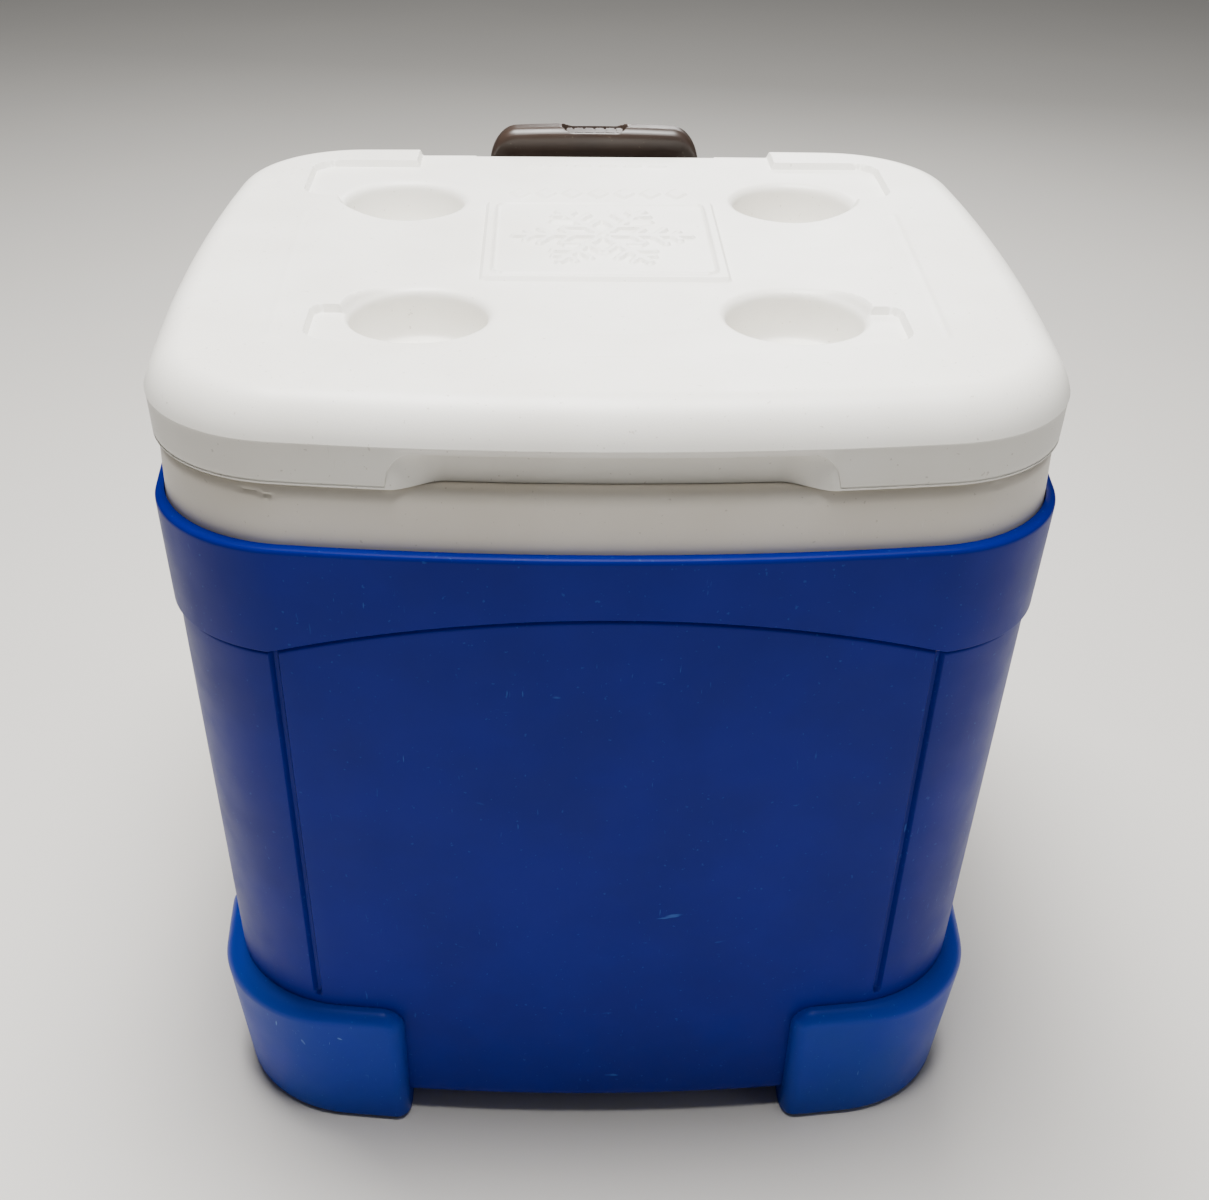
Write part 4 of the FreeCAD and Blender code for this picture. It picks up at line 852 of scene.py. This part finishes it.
def foot_mesh(side):
    """One front foot, which swells out round the corner of the shell."""
    skin = Skin()
    front_x = runs((FOOT_INNER, 0.35), (FOOT_INNER + 2.1, 0.9), (FOOT_INNER + 12, 1.6),
                   (TURN_X, 0))
    side_y = runs((TURN_Y, 2.2), (FOOT_BACK - 12, 0.9), (FOOT_BACK - 2.1, 0.35), (FOOT_BACK, 0))
    levels = runs((0, 0.5), (FOOT_HEEL, 2.5), (78, 1.0), (94.6, 0.35), (FOOT_HEIGHT, 0))
    rows = []
    for level in levels:
        x, y, nx, ny = stations(SHELL_LOW, SHELL_TOP, level, front_x, side_y)
        far_x, far_y, _, _ = stations(FOOT_LOW, FOOT_TOP, min(level, FOOT_TOP[0]), front_x, side_y)
        along = np.minimum(np.where(y < TURN_Y, x - FOOT_INNER, 1e3),
                           np.where(x > TURN_X, FOOT_BACK - y, 1e3))
        top = FOOT_HEIGHT - level
        inside = np.minimum(along, top)
        cornered = (along < FOOT_CORNER) & (top < FOOT_CORNER)
        inside = np.where(cornered, FOOT_CORNER - np.hypot(FOOT_CORNER - along,
                                                           FOOT_CORNER - top), inside)
        share = np.clip(inside / FOOT_ROUND, 0, 1)
        swell = np.sqrt(1 - (1 - share) ** 2) - 0.35 * (inside < 0) - 0.12 * (inside <= 1e-6)
        heel = max(FOOT_HEEL - level, 0)
        inset = FOOT_HEEL - math.sqrt(FOOT_HEEL ** 2 - heel ** 2)
        x = x + (far_x - x) * swell - nx * inset
        y = y + (far_y - y) * swell - ny * inset
        rows.append(skin.add(side * x, y, level))
    for below, above in zip(rows, rows[1:]):
        if side > 0:
            skin.bridge(above, below, closed=False)
        else:
            skin.bridge(below, above, closed=False)
    hidden = skin.add([side * FOOT_INNER, side * FOOT_INNER], [FOOT_BACK] * 2, [0.0, 26.0])
    low = int(np.searchsorted(levels, 26.0))
    for ring in ([row[0] for row in rows[:low + 1]], [row[-1] for row in rows[:low + 1]]):
        closing = [int(hidden[0]), *[int(number) for number in ring], int(hidden[1])]
        skin.faces.append(closing)
    base = rows[0].tolist()
    for first, second in zip(base, base[1:]):
        order = [int(hidden[0]), second, first] if side > 0 else [int(hidden[0]), first, second]
        skin.faces.append(order)
    return skin.build(f"foot_{'right' if side > 0 else 'left'}", BLUE_SCUFFED_PAINTED_LIGHT, 42)


# ---------------------------------------------------------------- grip
GRIP_NODES = ("grip_front", "grip_back")
GRIP_LOW = [min(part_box(name)[0][axis] for name in GRIP_NODES) / MM for axis in range(3)]
GRIP_HIGH = [max(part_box(name)[1][axis] for name in GRIP_NODES) / MM for axis in range(3)]
GRIP_ARCH = 497.0
GRIP_GAP_HALF = 38.0
GRIP_END = 18.0
GRIP_ROUND = 7.0
BUTTON_DEEP = 9.0
BUTTON_HALF = (20.5, 7.5)
GRIP_CROWN = 2.0
GRIP_TIP = 6


def grip_mesh():
    """The moulded hand grip: rounded ends, an arched underside and a pocket for the button."""
    skin = Skin()
    half = GRIP_HIGH[0]
    middle = (GRIP_LOW[1] + GRIP_HIGH[1]) / 2
    deep = (GRIP_HIGH[1] - GRIP_LOW[1]) / 2
    across = np.concatenate([-np.cos(np.linspace(0, math.pi / 2, 8)), [-0.5, 0.0, 0.5]])
    across = np.unique(np.round(np.concatenate([across, -across, np.linspace(-1, 1, 25)]), 4))
    rings = []
    for x in np.concatenate([np.linspace(-half, -half + GRIP_TIP, 9)[:-1],
                             np.linspace(-half + GRIP_TIP, half - GRIP_TIP, 120),
                             np.linspace(half - GRIP_TIP, half, 9)[1:]]):
        end = max(abs(x) - (half - GRIP_END), 0) / GRIP_END
        squeeze = math.sqrt(max(1 - end * end, 0.0))
        top = GRIP_HIGH[2] - GRIP_END * 1.4 * (1 - squeeze) - GRIP_CROWN * (x / half) ** 2
        base = GRIP_LOW[2] + 6.0 * (1 - squeeze)
        low = GRIP_ARCH - (GRIP_ARCH - base) * float(smooth(GRIP_GAP_HALF - 3, GRIP_GAP_HALF + 3,
                                                            abs(x)))
        y = across * deep * (0.35 + 0.65 * squeeze)
        edge = np.clip((np.abs(across) - 1) * deep + GRIP_ROUND, 0, GRIP_ROUND)
        drop = GRIP_ROUND - np.sqrt(GRIP_ROUND ** 2 - edge ** 2)
        rim = box_distance(x, y, (0, 0), BUTTON_HALF, 6)
        pocket = BUTTON_DEEP * (1 - smooth(-1.2, 1.2, rim))
        over = skin.add(x, middle + y, top - drop - pocket)
        under = skin.add(x, middle + y[::-1], low + drop[::-1] * 0.45)
        rings.append(np.concatenate([over, under]))
    for first, second in zip(rings, rings[1:]):
        skin.bridge(first, second)
    skin.faces.append([int(number) for number in rings[0]])
    skin.faces.append([int(number) for number in rings[-1][::-1]])
    return skin.build("grip_moulding", GRIP, 50)


# ---------------------------------------------------------------- placing the pieces
def carried_over():
    """Give every CAD node its finish."""
    slots = {}
    for row in frame["record"]["subparts"]:
        slots[row["node"]] = row["material_slot"]
    for name, node in frame["nodes"].items():
        finish = FINISH[slots[name]]
        if not node.data.materials:
            node.data.materials.append(finish)
        for index in range(len(node.material_slots)):
            node.material_slots[index].link = "OBJECT"
            node.material_slots[index].material = finish


def mount(piece, body, slot, *nodes):
    """Put a piece on its body and hide the CAD nodes that it replaces; the slot is not used."""
    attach(piece, body)
    if nodes:
        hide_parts(*nodes)


carried_over()
mount(lid_mesh(), "lid", "white_lid", "lid_shell")
mount(liner_mesh(), "cooler_body", "white_liner", *LINER_NODES)
mount(grip_mesh(), "handle_top", "handle_plastic", *GRIP_NODES)
for blue_piece in (shell_mesh(), shell_back(), foot_mesh(-1), foot_mesh(1)):
    mount(blue_piece, "cooler_body", "blue_shell", "outer_shell")


# ---------------------------------------------------------------- floor and light
def floor():
    n = Nodes("floor_pale")
    n.put(n.shader.inputs["Base Color"], n.mix(n.noise(400, 3), colour(214, 211, 206),
                                               colour(208, 205, 200)))
    n.shader.inputs["Roughness"].default_value = 0.8
    mesh = bpy.data.meshes.new("floor")
    reach = 8.0
    mesh.from_pydata([(-reach, -reach, 0), (reach, -reach, 0), (reach, reach, 0),
                      (-reach, reach, 0)], [], [(0, 1, 2, 3)])
    mesh.materials.append(n.material)
    made = bpy.data.objects.new("floor", mesh)
    bpy.context.scene.collection.objects.link(made)


def soft_light(name, place, target, size, power, tint=(1, 1, 1)):
    """A rectangular area light aimed at a point."""
    data = bpy.data.lights.new(name, "AREA")
    data.shape = "RECTANGLE"
    data.size, data.size_y = size
    data.energy = power
    data.color = tint
    made = bpy.data.objects.new(name, data)
    bpy.context.scene.collection.objects.link(made)
    made.location = place
    aim = Vector(target) - Vector(place)
    made.rotation_mode = "QUATERNION"
    made.rotation_quaternion = aim.to_track_quat("-Z", "Y")


def studio():
    world = bpy.data.worlds.new("studio")
    bpy.context.scene.world = world
    world.use_nodes = True
    back = world.node_tree.nodes["Background"]
    back.inputs["Color"].default_value = (0.86, 0.87, 0.9, 1)
    back.inputs["Strength"].default_value = 0.1
    soft_light("over", (-0.1, -0.08, 2.2), (0, 0.0, 0.45), (1.2, 0.8), 138, (1.0, 0.99, 0.965))
    soft_light("behind", (0.35, 1.9, 1.3), (0, 0.0, 0.5), (0.7, 0.4), 16, (1.0, 0.99, 0.97))
    soft_light("front_right", (1.9, -1.2, 1.1), (0, 0, 0.25), (1.0, 1.2), 2.5, (0.93, 0.96, 1.0))


floor()
studio()
